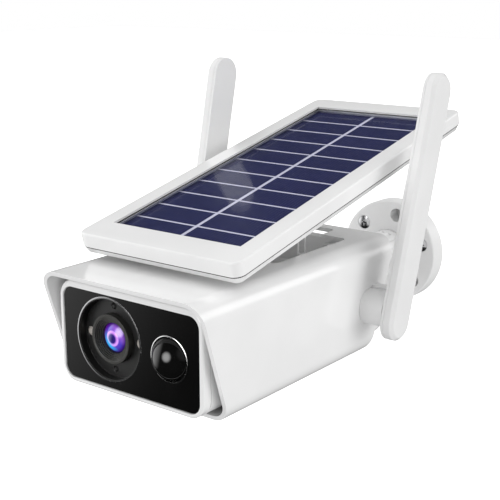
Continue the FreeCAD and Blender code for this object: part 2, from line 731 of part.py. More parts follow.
def bezel_seal():
    """Thin rubber gasket between the bezel and the case."""
    left, right, bottom, top = case_sides()
    seal = body("seal_body")
    loop = sketch(seal, "seal_loop", "XZ", D.case_front)
    rounded_rectangle(loop, left + 0.4, right - 0.4, bottom + 0.4, top - 0.4, D.case_corner - 0.4)
    rounded_rectangle(loop, left + 2, right - 2, bottom + 2, top - 2, D.case_corner - 2)
    pad(seal, loop, 0.3)
    node(seal, "bezel_seal")


# ---------------------------------------------------------------- front face

def front_glass():
    """Black glass with a hole for the lens well and one for the motion-sensor dome."""
    pane = body("glass_body")
    face = sketch(pane, "glass_face", "XZ", D.glass_reach - D.glass_thickness)
    half_width = D.glass_width / 2
    half_height = D.glass_height / 2
    rounded_rectangle(face, -half_width, half_width, D.glass_middle - half_height,
                      D.glass_middle + half_height, D.glass_corner)
    circle(face, D.lens_x, D.lens_z, D.lens_well_radius)
    circle(face, D.pir_x, D.pir_z, D.pir_radius)
    pad(pane, face, D.glass_thickness)
    node(pane, "front_glass")


def lens_axis(reach):
    """Point on the lens axis at a distance ahead of the origin."""
    return (D.lens_x, -reach, D.lens_z)


def lens_well():
    """Black cup sunk in the glass, with holes for the barrel, lights and sensors."""
    floor = D.glass_reach - D.lens_well_depth
    cup = cylinder("cup", D.lens_well_radius - 0.1, D.lens_well_depth + 1.4, lens_axis(floor - 1.6), "-y")
    tools = [
        cylinder("cup_hollow", D.lens_well_radius - 1.1, 10, lens_axis(floor), "-y"),
        cylinder("cup_bore", D.barrel_radius + 0.1, 20, lens_axis(floor - 5), "-y"),
    ]
    for name, dx, dz, radius in front_emitters():
        tools.append(cylinder(f"cup_{name}", radius + 0.1, 20,
                              (D.lens_x + dx, 5 - floor, D.lens_z + dz), "-y"))
    node(cut("cup_cut", cup, tools), "lens_well")


def front_emitters():
    """Name, offsets from the lens axis and radius of each light and sensor around the lens."""
    return [
        ("light_left", -D.led_offset, 0, D.led_radius),
        ("light_right", D.led_offset, 0, D.led_radius),
        ("sensor_top", 0, D.sensor_offset, D.led_radius - 0.9),
        ("sensor_bottom", 0, -D.sensor_offset, D.led_radius - 0.9),
    ]


def emitter(name, dx, dz, radius):
    """A domed bead standing from the light board up to the cup's floor."""
    rear = D.glass_reach - D.lens_well_depth - 2.8
    x = D.lens_x + dx
    z = D.lens_z + dz
    stem = cylinder(f"{name}_stem", radius, 2.4, (x, -rear, z), "-y")
    cap = cone(f"{name}_cap", radius, radius * 0.5, 0.9, (x, -rear - 2.4, z), "-y")
    return fuse(name, [stem, cap])


def infrared_lights():
    """Two light-emitting diodes at the sides of the lens."""
    group("infrared_lights", [emitter(*row) for row in front_emitters()[:2]])


def front_sensors():
    """Light sensors above and below the lens."""
    group("front_sensors", [emitter(*row) for row in front_emitters()[2:]])


def light_board():
    """Ring-shaped board that carries the lights around the lens."""
    rear = D.glass_reach - D.lens_well_depth - 4
    ring = cylinder("light_ring", D.lens_well_radius - 1, 1.1, lens_axis(rear), "-y")
    bore = cylinder("light_ring_bore", D.barrel_radius + 0.4, 6, lens_axis(rear - 2), "-y")
    node(cut("light_ring_cut", ring, [bore]), "light_board")


def lens_barrel():
    """Threaded lens tube with a stepped mouth around the front element."""
    front = D.glass_reach - 1
    tube = cylinder("barrel_tube", D.barrel_radius, 15, lens_axis(front - 15), "-y")
    tools = [
        cone("barrel_mouth", D.lens_radius, D.barrel_radius - 1.2, 3.2, lens_axis(front - 3.1), "-y"),
        cylinder("barrel_seat", D.lens_radius + 0.02, 4, lens_axis(front - 7), "-y"),
        cylinder("barrel_bore", D.lens_radius - 1.5, 20, lens_axis(front - 18), "-y"),
    ]
    node(cut("barrel_cut", tube, tools), "lens_barrel")


def lens_glass():
    """Front lens element, a disc with a domed face."""
    rear = D.glass_reach - 8
    rim = cylinder("lens_rim", D.lens_radius, 3, lens_axis(rear), "-y")
    ball = sphere("lens_ball", D.lens_radius * 1.6, (D.lens_x, D.lens_radius * 1.22 - rear - 3, D.lens_z))
    space = cylinder("lens_space", D.lens_radius, 6, lens_axis(rear), "-y")
    node(fuse("lens_solid", [rim, common("lens_dome", ball, space)]), "lens_glass")


def lens_holder():
    """Square mount that carries the barrel over the image sensor."""
    rear = D.glass_reach - 23.5
    block = box("holder_block", (D.lens_x - 13, -rear - 7.4, D.lens_z - 13), (D.lens_x + 13, -rear, D.lens_z + 13))
    room = box("holder_room", (D.lens_x - 9, -rear - 5, D.lens_z - 9), (D.lens_x + 9, 1 - rear, D.lens_z + 9))
    bore = cylinder("holder_bore", D.lens_radius - 1.5, 20, lens_axis(rear - 1), "-y")
    node(cut("holder_cut", block, [room, bore]), "lens_holder")


def sensor_board():
    """Board behind the lens holder."""
    rear = D.glass_reach - 23.6 - D.board_thickness
    node(box("sensor_board_box", (D.lens_x - 19, -rear - D.board_thickness, D.lens_z - 19),
             (D.lens_x + 19, -rear, D.lens_z + 19)), "sensor_board")


def image_sensor():
    """Image sensor chip on its board."""
    rear = D.glass_reach - 23.6
    node(box("image_sensor_box", (D.lens_x - 5, -rear - 1.5, D.lens_z - 5),
             (D.lens_x + 5, -rear, D.lens_z + 5)), "image_sensor")


def pir_dome():
    """Rounded motion-sensor window with a flange behind the glass."""
    rear = D.glass_reach - D.glass_thickness
    radius = D.pir_radius - 0.9
    rise = D.pir_height
    ball_radius = (radius * radius + rise * rise) / (2 * rise)
    at = (D.pir_x, -(D.glass_reach + rise - ball_radius), D.pir_z)
    shell = common("dome_shell", sphere("dome_ball", ball_radius, at),
                   cylinder("dome_reach", radius, 20, (D.pir_x, -D.glass_reach + 0.5, D.pir_z), "-y"))
    neck = cylinder("dome_neck", radius, D.glass_thickness, (D.pir_x, -rear, D.pir_z), "-y")
    flange = cylinder("dome_flange", D.pir_radius + 0.8, 1.3, (D.pir_x, 1.3 - rear, D.pir_z), "-y")
    hollow = sphere("dome_hollow", ball_radius - 1, at)
    room = cylinder("dome_room", radius - 1, D.glass_thickness + 3, (D.pir_x, 2 - rear, D.pir_z), "-y")
    node(cut("dome_cut", fuse("dome_solid", [shell, neck, flange]),
             [common("dome_inner", hollow, cylinder("dome_inner_reach", radius - 1, 20,
                                                    (D.pir_x, -rear, D.pir_z), "-y")), room]), "pir_dome")


def pir_ring():
    """Bright trim ring between the dome and the glass."""
    outer = cylinder("trim_outer", D.pir_radius - 0.05, 1.7, (D.pir_x, 1.2 - D.glass_reach, D.pir_z), "-y")
    inner = cylinder("trim_inner", D.pir_radius - 0.85, 4, (D.pir_x, 2 - D.glass_reach, D.pir_z), "-y")
    node(cut("trim_cut", outer, [inner]), "pir_ring")


def pir_sensor():
    """Metal can of the motion sensor, behind the dome."""
    base = cylinder("pir_base", 4.6, 0.8, (D.pir_x, -D.glass_reach + 12, D.pir_z), "-y")
    can = cylinder("pir_can", 4.1, 4, (D.pir_x, -D.glass_reach + 11.2, D.pir_z), "-y")
    node(fuse("pir_can_solid", [base, can]), "pir_sensor")


def pir_board():
    """Board behind the motion sensor."""
    rear = D.glass_reach - 12
    node(box("pir_board_box", (D.pir_x - 11, -rear, D.pir_z - 10),
             (D.pir_x + 11, D.board_thickness - rear, D.pir_z + 10)), "pir_board")


# ---------------------------------------------------------------- electronics in the case

def main_board():
    """Control board in front of the batteries, with its processor, radio and connectors."""
    floor = -6.0
    front = D.case_front - 24
    board = box("board_slab", (-38, -front, floor), (38, 28 - front, floor + D.board_thickness))
    top = floor + D.board_thickness
    chips = [
        box("processor", (-20, 6 - front, top), (-6, 20 - front, top + 1.4)),
        box("radio_can", (4, 8 - front, top), (22, 22 - front, top + 2.4)),
        box("battery_plug", (26, 8 - front, top), (34, 14 - front, top + 6)),
    ]
    node(fuse("board_solid", [board] + chips), "main_board")


def cell_places():
    """Y of each battery cell, spread about the middle of the pack."""
    count = int(number(D.cell_count))
    return [-D.pack_reach + D.cell_pitch * (i - (count - 1) / 2) for i in range(count)]


def battery_floor():
    """Height that the battery cells rest at."""
    return D.case_middle - D.case_height / 2 + D.case_wall + 0.3


def battery_cells():
    """Rechargeable cells laid across the case, each with a raised positive end."""
    z = battery_floor() + D.cell_radius
    half = D.cell_length / 2
    cells = []
    for index, y in enumerate(cell_places()):
        can = cylinder(f"cell_can_{index}", D.cell_radius, D.cell_length - 1, (-half, y, z), "x")
        tip = cylinder(f"cell_tip_{index}", D.cell_radius * 0.35, 1, (half - 1, y, z), "x")
        cells.append(fuse(f"cell_{index}", [can, tip]))
    group("battery_cells", cells)


def battery_holder():
    """Open frame that keeps the cells in place."""
    half_x = D.cell_length / 2 + 0.3
    half_y = D.cell_pitch * D.cell_count / 2
    low = battery_floor() - 0.2
    outer = box("tray_outer", (-half_x - 1.6, -D.pack_reach - half_y - 1.6, low),
                (half_x + 1.6, half_y + 1.6 - D.pack_reach, low + 13))
    inner = box("tray_inner", (-half_x, -D.pack_reach - half_y, low - 1),
                (half_x, half_y - D.pack_reach, low + 14))
    node(cut("tray_cut", outer, [inner]), "battery_holder")


def speaker():
    """Round speaker behind the grille."""
    rear = D.case_rear + 0.2
    frame_ring = cylinder("speaker_frame", 10, 3, (D.speaker_x, -rear, D.speaker_z), "-y")
    magnet = cylinder("speaker_magnet", 6.5, 3, (D.speaker_x, -rear - 3, D.speaker_z), "-y")
    node(fuse("speaker_solid", [frame_ring, magnet]), "speaker")


# ---------------------------------------------------------------- service port underneath

def port_floor():
    """Height of the port recess."""
    return D.case_middle - D.case_height / 2


def port_frame():
    """Inner frame of the service port, with the sockets' and buttons' cut-outs."""
    z = port_floor() + D.case_wall
    y = -D.port_reach
    slab = box("port_slab", (-D.port_width / 2 - 2, y - 4.6, z + 0.05), (D.port_width / 2 + 2, y + 4.6, z + 2))
    tools = [
        box("usb_hole", (-14, y - 1.8, z - 1), (-4.6, y + 1.8, z + 3)),
        box("card_hole", (-2.5, y - 0.9, z - 1), (9.5, y + 0.9, z + 3)),
    ]
    for x in (12, 15.5):
        tools.append(cylinder(f"button_hole_{int(x)}", D.button_radius + 0.06, 6, (x, y, z - 1)))
    node(cut("port_cut", slab, tools), "port_frame")


def sockets():
    """The charging socket and the memory-card socket above the frame."""
    z = port_floor() + D.case_wall + 2.1
    y = -D.port_reach
    usb = cut("usb_solid", box("usb_shell", (-14.2, y - 1.9, z), (-4.4, y + 1.9, z + 7)),
              [box("usb_mouth", (-13.4, y - 1.2, z - 1), (-5.2, y + 1.2, z + 5.5))])
    card = cut("card_solid", box("card_shell", (-3, y - 1.2, z), (10, y + 1.2, z + 11)),
               [box("card_mouth", (-2.2, y - 0.6, z - 1), (9.2, y + 0.6, z + 10))])
    node(usb, "usb_socket")
    node(card, "card_socket")


def button(name, x):
    """A round push button that stands slightly proud of the port frame."""
    z = port_floor() + D.case_wall
    stem = cylinder(f"{name}_stem", D.button_radius, 3.4, (x, -D.port_reach, z - 0.9))
    flange = cylinder(f"{name}_flange", D.button_radius + 0.16, 0.9, (x, -D.port_reach, z + 2.5))
    node(fuse(f"{name}_solid", [stem, flange]), name)


def port_cover():
    """Rubber flap over the service port with a lip that plugs the opening."""
    z = port_floor()
    half = D.port_width / 2
    flap = body("flap_body")
    face = sketch(flap, "flap_face", "XY", z - 0.1)
    rounded_rectangle(face, -half - 3, half + 3, -D.port_reach - 6, 6 - D.port_reach, 3)
    plate = pad(flap, face, 1.2, reverse=True)
    fillet(flap, plate, in_plane("z", z - 1.3), 0.5)
    lip = sketch(flap, "flap_lip", "XY", z - 0.1)
    rounded_rectangle(lip, 0.4 - half, half - 0.4, -D.port_reach - D.port_depth / 2 + 0.3,
                      D.port_depth / 2 - D.port_reach - 0.3, 1.5)
    pad(flap, lip, 1.1)
    node(flap, "port_cover")


# ---------------------------------------------------------------- support arm

def support_arm():
    """Flanged arm between the pin in the well and the panel's hinge."""
    half = D.arm_width / 2
    neck = D.arm_neck_width / 2
    y = -D.arm_reach
    depth = D.arm_depth / 2
    top = D.arm_pivot_z + D.arm_length
    shoulder = top - D.knuckle_radius - 0.6
    web = box("arm_web", (-half, y - depth, D.arm_pivot_z), (half, y + depth, shoulder))
    throat = box("arm_throat", (-neck, y - depth, shoulder - 1), (neck, y + depth, top))
    low_knuckle = cylinder("arm_low_knuckle", D.knuckle_radius, D.arm_width, (-half, y, D.arm_pivot_z), "x")
    high_knuckle = cylinder("arm_high_knuckle", D.knuckle_radius, D.arm_neck_width, (-neck, y, top), "x")
    tools = []
    for side in (-1, 1):
        x = half - 4 if side > 0 else -half - 1
        tools.append(box(f"arm_groove_{side}", (x, y - depth + 1.5, D.arm_pivot_z + D.knuckle_radius + 1),
                         (x + 5, y + depth - 1.5, shoulder - 1.5)))
    for name, z in (("low", D.arm_pivot_z), ("high", top)):
        tools.append(cylinder(f"arm_bore_{name}", D.pin_radius + D.running_gap, D.arm_width + 2,
                              (-half - 1, y, z), "x"))
    node(cut("arm_cut", fuse("arm_solid", [web, throat, low_knuckle, high_knuckle]), tools), "support_arm")


def hinge_pin(name, half_length, z):
    """A plain hinge pin lying across the camera."""
    node(cylinder(f"{name}_rod", D.pin_radius, 2 * half_length, (-half_length, -D.arm_reach, z), "x"), name)


# ---------------------------------------------------------------- solar panel

def on_panel(obj, name):
    """Sets a panel piece, drawn about its hinge, at the arm's top and tilts it."""
    place(obj, (0, -D.arm_reach, D.arm_pivot_z + D.arm_length), (1, 0, 0), D.panel_tilt)
    return node(obj, name)


def panel_levels():
    """Heights above the hinge of the shell's underside, the parting line and the top face."""
    low = D.hinge_drop
    parting = low + D.shell_depth
    top = parting + D.parting_gap + D.frame_depth
    return low, parting, top


def panel_ends():
    """Front and rear ends of the panel, measured along it from the hinge."""
    return -D.hinge_from_front, D.panel_length - D.hinge_from_front


def panel_frame():
    """Upper picture frame with a thin lip over the glass."""
    front, rear = panel_ends()
    _, _, top = panel_levels()
    half = D.panel_width / 2
    window = D.window_width / 2
    lap = D.glass_lap + 0.2
    frame = body("frame_body")
    outside = sketch(frame, "frame_outside", "XY", top - D.frame_depth)
    rounded_rectangle(outside, -half, half, front, rear, D.panel_corner)
    block = pad(frame, outside, D.frame_depth)
    fillet(frame, block, in_plane("z", top), 1)
    bed = sketch(frame, "frame_bed", "XY", top - D.frame_depth)
    rectangle(bed, -window - lap, window + lap, front + D.window_front - lap, rear - D.window_rear + lap)
    pocket(frame, bed, D.frame_depth - D.window_lip, reverse=True)
    opening = sketch(frame, "frame_window", "XY", top)
    rectangle(opening, -window, window, front + D.window_front, rear - D.window_rear)
    pocket(frame, opening)
    low, parting, _ = panel_levels()
    pilots = [
        cylinder(f"frame_pilot_{index}", D.panel_screw_radius + D.running_gap,
                 D.panel_screw_length + 1.5 + low - parting, (x, y, parting))
        for index, (x, y) in enumerate(shell_screw_places())
    ]
    on_panel(cut("frame_cut", frame, pilots), "panel_frame")


def panel_shell():
    """Lower tray, its sides drawn in towards the bottom."""
    front, rear = panel_ends()
    low, parting, _ = panel_levels()
    half = D.panel_width / 2 - 0.4
    tray = body("tray_body")
    outside = sketch(tray, "tray_outside", "XY", parting)
    rounded_rectangle(outside, -half, half, front + 0.4, rear - 0.4, D.panel_corner - 0.4)
    block = pad(tray, outside, D.shell_depth, reverse=True, taper=-25)
    fillet(tray, block, in_plane("z", low), 0.8)
    hollow = sketch(tray, "tray_hollow", "XY", parting)
    rounded_rectangle(hollow, D.tray_border - half, half - D.tray_border,
                      front + D.tray_border, rear - D.tray_border, D.panel_corner - 2)
    pocket(tray, hollow, D.shell_depth - 1.8)
    holes = []
    for index, (x, y) in enumerate(shell_screw_places()):
        holes.append(cylinder(f"tray_hole_{index}", 1.3, 20, (x, y, low - 5)))
        holes.append(cylinder(f"tray_seat_{index}", 2.7, 1.4, (x, y, low - 0.2)))
    for index, (x, y) in enumerate(bracket_screw_places()):
        holes.append(cylinder(f"tray_bracket_hole_{index}", 1.3, 20, (x, y, low - 5)))
    on_panel(cut("tray_shell_cut", tray, holes), "panel_shell")


def shell_screw_places():
    """Six screws around the panel's underside, inside the frame's solid border."""
    front, rear = panel_ends()
    x = D.panel_width / 2 - D.panel_screw_inset
    middle = (front + rear) / 2
    return [(side * x, y) for side in (-1, 1) for y in (front + 8, middle, rear - 8)]


def bracket_screw_places():
    """Four screws that hold the hinge bracket under the shell."""
    return [(x, y) for x in (-20, 20) for y in (-13, 16)]


def shell_screws():
    """Screws from the shell up into the frame."""
    low, _, _ = panel_levels()
    screws = [
        cross_head_screw(f"shell_screw_{index}", (x, y, low + 1.2), "z", 2.6, 1.1,
                         D.panel_screw_radius, D.panel_screw_length)
        for index, (x, y) in enumerate(shell_screw_places())
    ]
    on_panel(group("shell_screws", screws), "shell_screws")


def pane_box():
    """Left, right, front and rear of the glass under the frame's lip."""
    front, rear = panel_ends()
    half = D.window_width / 2 + D.glass_lap
    return -half, half, front + D.window_front - D.glass_lap, rear - D.window_rear + D.glass_lap


def panel_glass():
    """Clear pane under the lip of the frame."""
    left, right, front, rear = pane_box()
    _, _, top = panel_levels()
    under_lip = top - D.window_lip - 0.1
    pane = box("pane", (left, front, under_lip - D.pane_thickness), (right, rear, under_lip))
    on_panel(carried("pane_set", pane), "panel_glass")


def solar_cells():
    """Two columns of thin wafers under the glass."""
    front, rear = panel_ends()
    _, _, top = panel_levels()
    columns = int(number(D.cell_columns))
    rows = int(number(D.cell_rows))
    length = D.panel_length - D.window_front - D.window_rear
    row_pitch = length / D.cell_rows
    column_pitch = (D.window_width + D.cell_gap) / D.cell_columns
    upper = top - D.window_lip - D.pane_thickness - 0.15
    wafers = []
    for column in range(columns):
        for row in range(rows):
            x = -D.window_width / 2 + column * column_pitch
            y = front + D.window_front + row * row_pitch + D.cell_gap / 2
            wafers.append(box(f"wafer_{column}_{row}", (x, y, upper - 0.3),
                              (x + column_pitch - D.column_gap, y + row_pitch - D.cell_gap, upper)))
    on_panel(fuse("wafers", wafers), "solar_cells")


def cell_board():
    """Backing board under the cells."""
    left, right, front, rear = pane_box()
    _, _, top = panel_levels()
    upper = top - D.window_lip - D.pane_thickness - 0.5
    backing = box("backing", (left, front, upper - 1.6), (right, rear, upper))
    on_panel(carried("backing_set", backing), "cell_board")


def hinge_bracket():
    """Foot under the panel with two lugs around the arm's upper knuckle."""
    low, _, _ = panel_levels()
    plate = box("foot_plate", (-25, -18, low - 2.4), (25, 21, low))
    inner = D.arm_neck_width / 2 + 0.4
    lugs, bores = [], []
    for side in (-1, 1):
        x = inner if side > 0 else -inner - 4
        lugs.append(cylinder(f"foot_knuckle_{side}", D.knuckle_radius, 4, (x, 0, 0), "x"))
        lugs.append(box(f"foot_lug_{side}", (x, -D.knuckle_radius, 0), (x + 4, D.knuckle_radius, low - 1)))
    bores.append(cylinder("foot_bore", D.pin_radius + D.running_gap, D.arm_width + 10,
                          (-D.arm_width / 2 - 5, 0, 0), "x"))
    for index, (x, y) in enumerate(bracket_screw_places()):
        bores.append(cylinder(f"foot_hole_{index}", 1.7, 6, (x, y, low - 4)))
    on_panel(cut("foot_cut", fuse("foot_solid", [plate] + lugs), bores), "hinge_bracket")


def bracket_screws():
    """Screws of the hinge bracket."""
    low, _, _ = panel_levels()
    screws = [
        cross_head_screw(f"foot_screw_{index}", (x, y, low - 2.5), "z", 3.0, 1.5, 1.25, 4.5)
        for index, (x, y) in enumerate(bracket_screw_places())
    ]
    on_panel(group("bracket_screws", screws), "bracket_screws")


# ---------------------------------------------------------------- antennas

def antenna_hub(side, name):
    """Round boss on the hood's side with a stop tab and the antenna's bore."""
    along = "x" if side > 0 else "-x"
    y = -D.hub_reach
    skin = D.hood_width / 2
    drum = cylinder(f"{name}_drum", D.hub_radius, D.hub_end - skin, (side * skin, y, 0), along)
    shaft = cylinder(f"{name}_shaft", D.hub_radius - 4.25, skin - 43, (side * 43, y, 0), along)
    ends = sorted((side * number(skin), side * (number(D.hub_end) - 0.2)))
    tab = box(f"{name}_tab", (ends[0], y + 3, D.hub_radius - 1.2), (ends[1], y + 9, D.hub_radius + 1))
    bore = cylinder(f"{name}_bore", D.pivot_radius + D.running_gap, D.hub_end - 49, (side * 49, y, 0), along)
    node(cut(f"{name}_cut", fuse(f"{name}_solid", [drum, shaft, tab]), [bore]), name)


def stadium(drawing, side, radius):
    """The paddle's outline: two straight edges joined by round ends."""
    rounded_rectangle(drawing, -radius, radius, -D.paddle_tail - radius, D.paddle_length + radius,
                      radius - 0.01)


def at_hub(obj, lean, name):
    """Sets an antenna piece, drawn upright about its pivot, on the hub and leans it back."""
    place(obj, (0, -D.hub_reach, 0), (1, 0, 0), -lean)
    return node(obj, name)


def antenna_shell(side, lean, name):
    """Outer half of the paddle, bevelled around its outer face and hollow inside."""
    shell = body(f"{name}_body")
    inner = D.paddle_inner + 1.7
    outline_sketch = sketch(shell, f"{name}_outline", "YZ", side * inner)
    stadium(outline_sketch, side, D.paddle_radius)
    block = pad(shell, outline_sketch, D.paddle_outer - inner, reverse=side < 0)
    chamfer(shell, block, in_plane("x", side * D.paddle_outer), D.paddle_outer - D.paddle_edge)
    cavity = sketch(shell, f"{name}_cavity", "YZ", side * inner)
    stadium(cavity, side, D.paddle_radius - 2.2)
    pocket(shell, cavity, D.paddle_edge - inner - 0.4, reverse=side > 0)
    at_hub(shell, lean, name)


def antenna_cover(side, lean, name):
    """Inner plate of the paddle with the pivot that turns in the hub."""
    plate = body(f"{name}_body")
    outline_sketch = sketch(plate, f"{name}_outline", "YZ", side * D.paddle_inner)
    stadium(outline_sketch, side, D.paddle_radius - 0.1)
    pad(plate, outline_sketch, 1.65, reverse=side < 0)
    peg = sketch(plate, f"{name}_peg", "YZ", side * D.paddle_inner)
    circle(peg, 0, 0, D.pivot_radius)
    pad(plate, peg, 15, reverse=side > 0)
    at_hub(plate, lean, name)


def antenna_strip(side, lean, name):
    """Aerial board inside the paddle."""
    low, high = sorted((side * (number(D.paddle_inner) + 2.2), side * (number(D.paddle_inner) + 3.0)))
    strip = box(f"{name}_board", (low, -5, 20), (high, 5, 110))
    at_hub(carried(f"{name}_set", strip), lean, name)


# ---------------------------------------------------------------- build and export

def build():
    """Draws every piece in order."""
    wall_base_cover()
    wall_base_plate()
    base_screws()
    clamp_ring()
    ball_seat()
    ball_stud()
    stud_screw()
    lock_nut()
    case()
    rear_cap()
    rear_cap_screws()
    threaded_insert()
    hood()
    front_bezel()
    bezel_seal()
    front_glass()
    lens_well()
    infrared_lights()
    front_sensors()
    light_board()
    lens_barrel()
    lens_glass()
    lens_holder()
    sensor_board()
    image_sensor()
    pir_dome()
    pir_ring()
    pir_sensor()
    pir_board()
    main_board()
    battery_cells()
    battery_holder()
    speaker()
    port_frame()
    sockets()
    button("reset_button", 12)
    button("power_button", 15.5)
    port_cover()
    support_arm()
    hinge_pin("arm_pin", D.arm_width / 2 + 4.2, D.arm_pivot_z)
    hinge_pin("panel_pin", D.arm_neck_width / 2 + 4.2, D.arm_pivot_z + D.arm_length)
    panel_frame()
    panel_shell()
    panel_glass()
    solar_cells()
    cell_board()
    hinge_bracket()
    shell_screws()
    bracket_screws()
    for side, lean, hand in ((1, D.right_lean, "right"), (-1, D.left_lean, "left")):
        antenna_hub(side, f"antenna_hub_{hand}")
        antenna_shell(side, lean, f"antenna_shell_{hand}")
        antenna_cover(side, lean, f"antenna_cover_{hand}")
        antenna_strip(side, lean, f"antenna_strip_{hand}")


def check():
    """Stops if any object failed to recompute or any sub-part isn't a sound solid."""
    DOC.recompute()
    faults = [
        f"{obj.Name}: {obj.State}" for obj in DOC.Objects
        if "Invalid" in obj.State or "Error" in obj.State
    ]
    for name, obj in NODES.items():
        shape = obj.Shape
        if shape.isNull() or not shape.isValid() or not shape.Solids:
            faults.append(f"{name}: no sound solid")
    if faults:
        raise RuntimeError("; ".join(faults))


def export():
    """Writes each piece to its own file."""
    os.makedirs("parts", exist_ok=True)
    for name, obj in NODES.items():
        obj.Shape.exportStep(f"parts/{name}.step")
        print(f"{name}: {len(obj.Shape.Solids)} solid(s), {obj.Shape.Volume / 1000:.2f} cm3")


build()
check()
export()
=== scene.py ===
"""Looks for a solar-powered security camera on a ball-joint wall bracket.

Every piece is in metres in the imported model's own frame: the origin is the centre of the
bracket's back face, +Z is up and the camera looks towards -Y.
"""

import json
import logging
import math
from collections.abc import Iterable, Mapping, Sequence
from dataclasses import dataclass, field
from enum import Enum
from typing import Any

import bmesh
import bpy
from mathutils import Euler, Matrix, Vector

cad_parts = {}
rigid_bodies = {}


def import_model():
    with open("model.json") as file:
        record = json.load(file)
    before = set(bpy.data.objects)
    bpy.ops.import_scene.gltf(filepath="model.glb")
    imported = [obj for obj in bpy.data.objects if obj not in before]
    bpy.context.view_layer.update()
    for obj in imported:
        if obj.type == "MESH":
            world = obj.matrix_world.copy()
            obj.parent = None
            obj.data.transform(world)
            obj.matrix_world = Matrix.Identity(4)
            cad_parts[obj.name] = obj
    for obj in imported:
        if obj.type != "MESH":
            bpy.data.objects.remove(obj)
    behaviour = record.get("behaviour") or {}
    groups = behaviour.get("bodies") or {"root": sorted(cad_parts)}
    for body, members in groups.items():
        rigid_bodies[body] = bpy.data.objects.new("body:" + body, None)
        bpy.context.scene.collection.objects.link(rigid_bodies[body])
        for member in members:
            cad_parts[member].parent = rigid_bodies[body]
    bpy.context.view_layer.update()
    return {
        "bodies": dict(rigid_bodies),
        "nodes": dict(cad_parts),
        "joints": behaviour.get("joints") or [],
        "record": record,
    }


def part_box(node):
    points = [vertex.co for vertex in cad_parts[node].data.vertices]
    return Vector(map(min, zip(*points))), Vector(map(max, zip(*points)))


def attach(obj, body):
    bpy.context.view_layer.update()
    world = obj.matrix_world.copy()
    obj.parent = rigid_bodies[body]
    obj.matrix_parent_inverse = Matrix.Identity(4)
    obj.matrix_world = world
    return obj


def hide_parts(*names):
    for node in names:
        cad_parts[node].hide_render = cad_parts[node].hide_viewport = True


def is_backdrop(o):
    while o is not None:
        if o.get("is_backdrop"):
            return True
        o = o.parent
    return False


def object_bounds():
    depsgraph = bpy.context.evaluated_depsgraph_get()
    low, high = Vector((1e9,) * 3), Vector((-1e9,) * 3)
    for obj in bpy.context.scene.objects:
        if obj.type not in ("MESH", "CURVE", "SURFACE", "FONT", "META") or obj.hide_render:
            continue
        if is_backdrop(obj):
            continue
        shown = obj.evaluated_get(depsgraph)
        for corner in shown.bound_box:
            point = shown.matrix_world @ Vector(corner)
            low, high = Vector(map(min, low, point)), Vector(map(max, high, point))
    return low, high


MM = 0.001
LOG = logging.getLogger("solar_camera")
Colour = tuple[float, float, float]


class Slot(Enum):
    """The record's material slots."""

    WHITE = "white_plastic"
    CASE = "case_plastic"
    ANTENNA = "antenna_plastic"
    CHROME = "chrome_screw"
    STEEL = "steel"
    BRASS = "brass"
    NYLON = "nylon"
    RUBBER = "rubber"
    GREY_RUBBER = "rubber_grey"
    BLACK_GLASS = "black_glass"
    BLACK_PLASTIC = "black_plastic"
    DOME = "dome_plastic"
    TRIM = "bright_trim"
    CLEAR_EPOXY = "clear_epoxy"
    DARK_EPOXY = "dark_epoxy"
    LENS = "lens_glass"
    BOARD = "circuit_board"
    WRAP = "battery_wrap"
    PANE = "panel_glass"
    SILICON = "silicon"
    BACKING = "backing_board"


# ------------------------------------------------------------------ shader building


class Value:
    """A shader socket that can be used in ordinary arithmetic."""

    def __init__(self, graph: "Graph", socket: bpy.types.NodeSocket) -> None:
        """Wraps one output socket of a graph."""
        self.graph = graph
        self.socket = socket

    def _math(self, operation: str, first: Any, second: Any) -> "Value":
        """Adds one Math node and wraps its result.

        Args:
            operation: What the node does.
            first: Its first number, socket or Value.
            second: Its second number, socket or Value.

        Returns:
            The result.
        """
        made = self.graph.node("ShaderNodeMath", {"operation": operation}, {0: first, 1: second})
        return Value(self.graph, made.outputs[0])

    def __add__(self, other: Any) -> "Value":
        """This value plus another."""
        return self._math("ADD", self, other)

    def __radd__(self, other: Any) -> "Value":
        """A number plus this value."""
        return self._math("ADD", other, self)

    def __sub__(self, other: Any) -> "Value":
        """This value less another."""
        return self._math("SUBTRACT", self, other)

    def __rsub__(self, other: Any) -> "Value":
        """A number less this value."""
        return self._math("SUBTRACT", other, self)

    def __mul__(self, other: Any) -> "Value":
        """This value times another."""
        return self._math("MULTIPLY", self, other)

    def __rmul__(self, other: Any) -> "Value":
        """A number times this value."""
        return self._math("MULTIPLY", other, self)

    def __truediv__(self, other: Any) -> "Value":
        """This value over another."""
        return self._math("DIVIDE", self, other)

    def __rtruediv__(self, other: Any) -> "Value":
        """A number over this value."""
        return self._math("DIVIDE", other, self)

    def __pow__(self, other: Any) -> "Value":
        """This value raised to a power."""
        return self._math("POWER", self, other)

    def step(self, low: float, high: float) -> "Value":
        """Rises smoothly from 0 at low to 1 at high.

        Args:
            low: The value that gives 0.
            high: The value that gives 1; it may be the smaller one.

        Returns:
            The eased mask.
        """
        inputs = {"Value": self, "From Min": low, "From Max": high}
        made = self.graph.node("ShaderNodeMapRange", {"interpolation_type": "SMOOTHSTEP"}, inputs)
        return Value(self.graph, made.outputs[0])

    def saw(self, pitch: float) -> "Value":
        """How far this value is from the nearest whole multiple of a pitch."""
        return self._math("PINGPONG", self, pitch / 2)


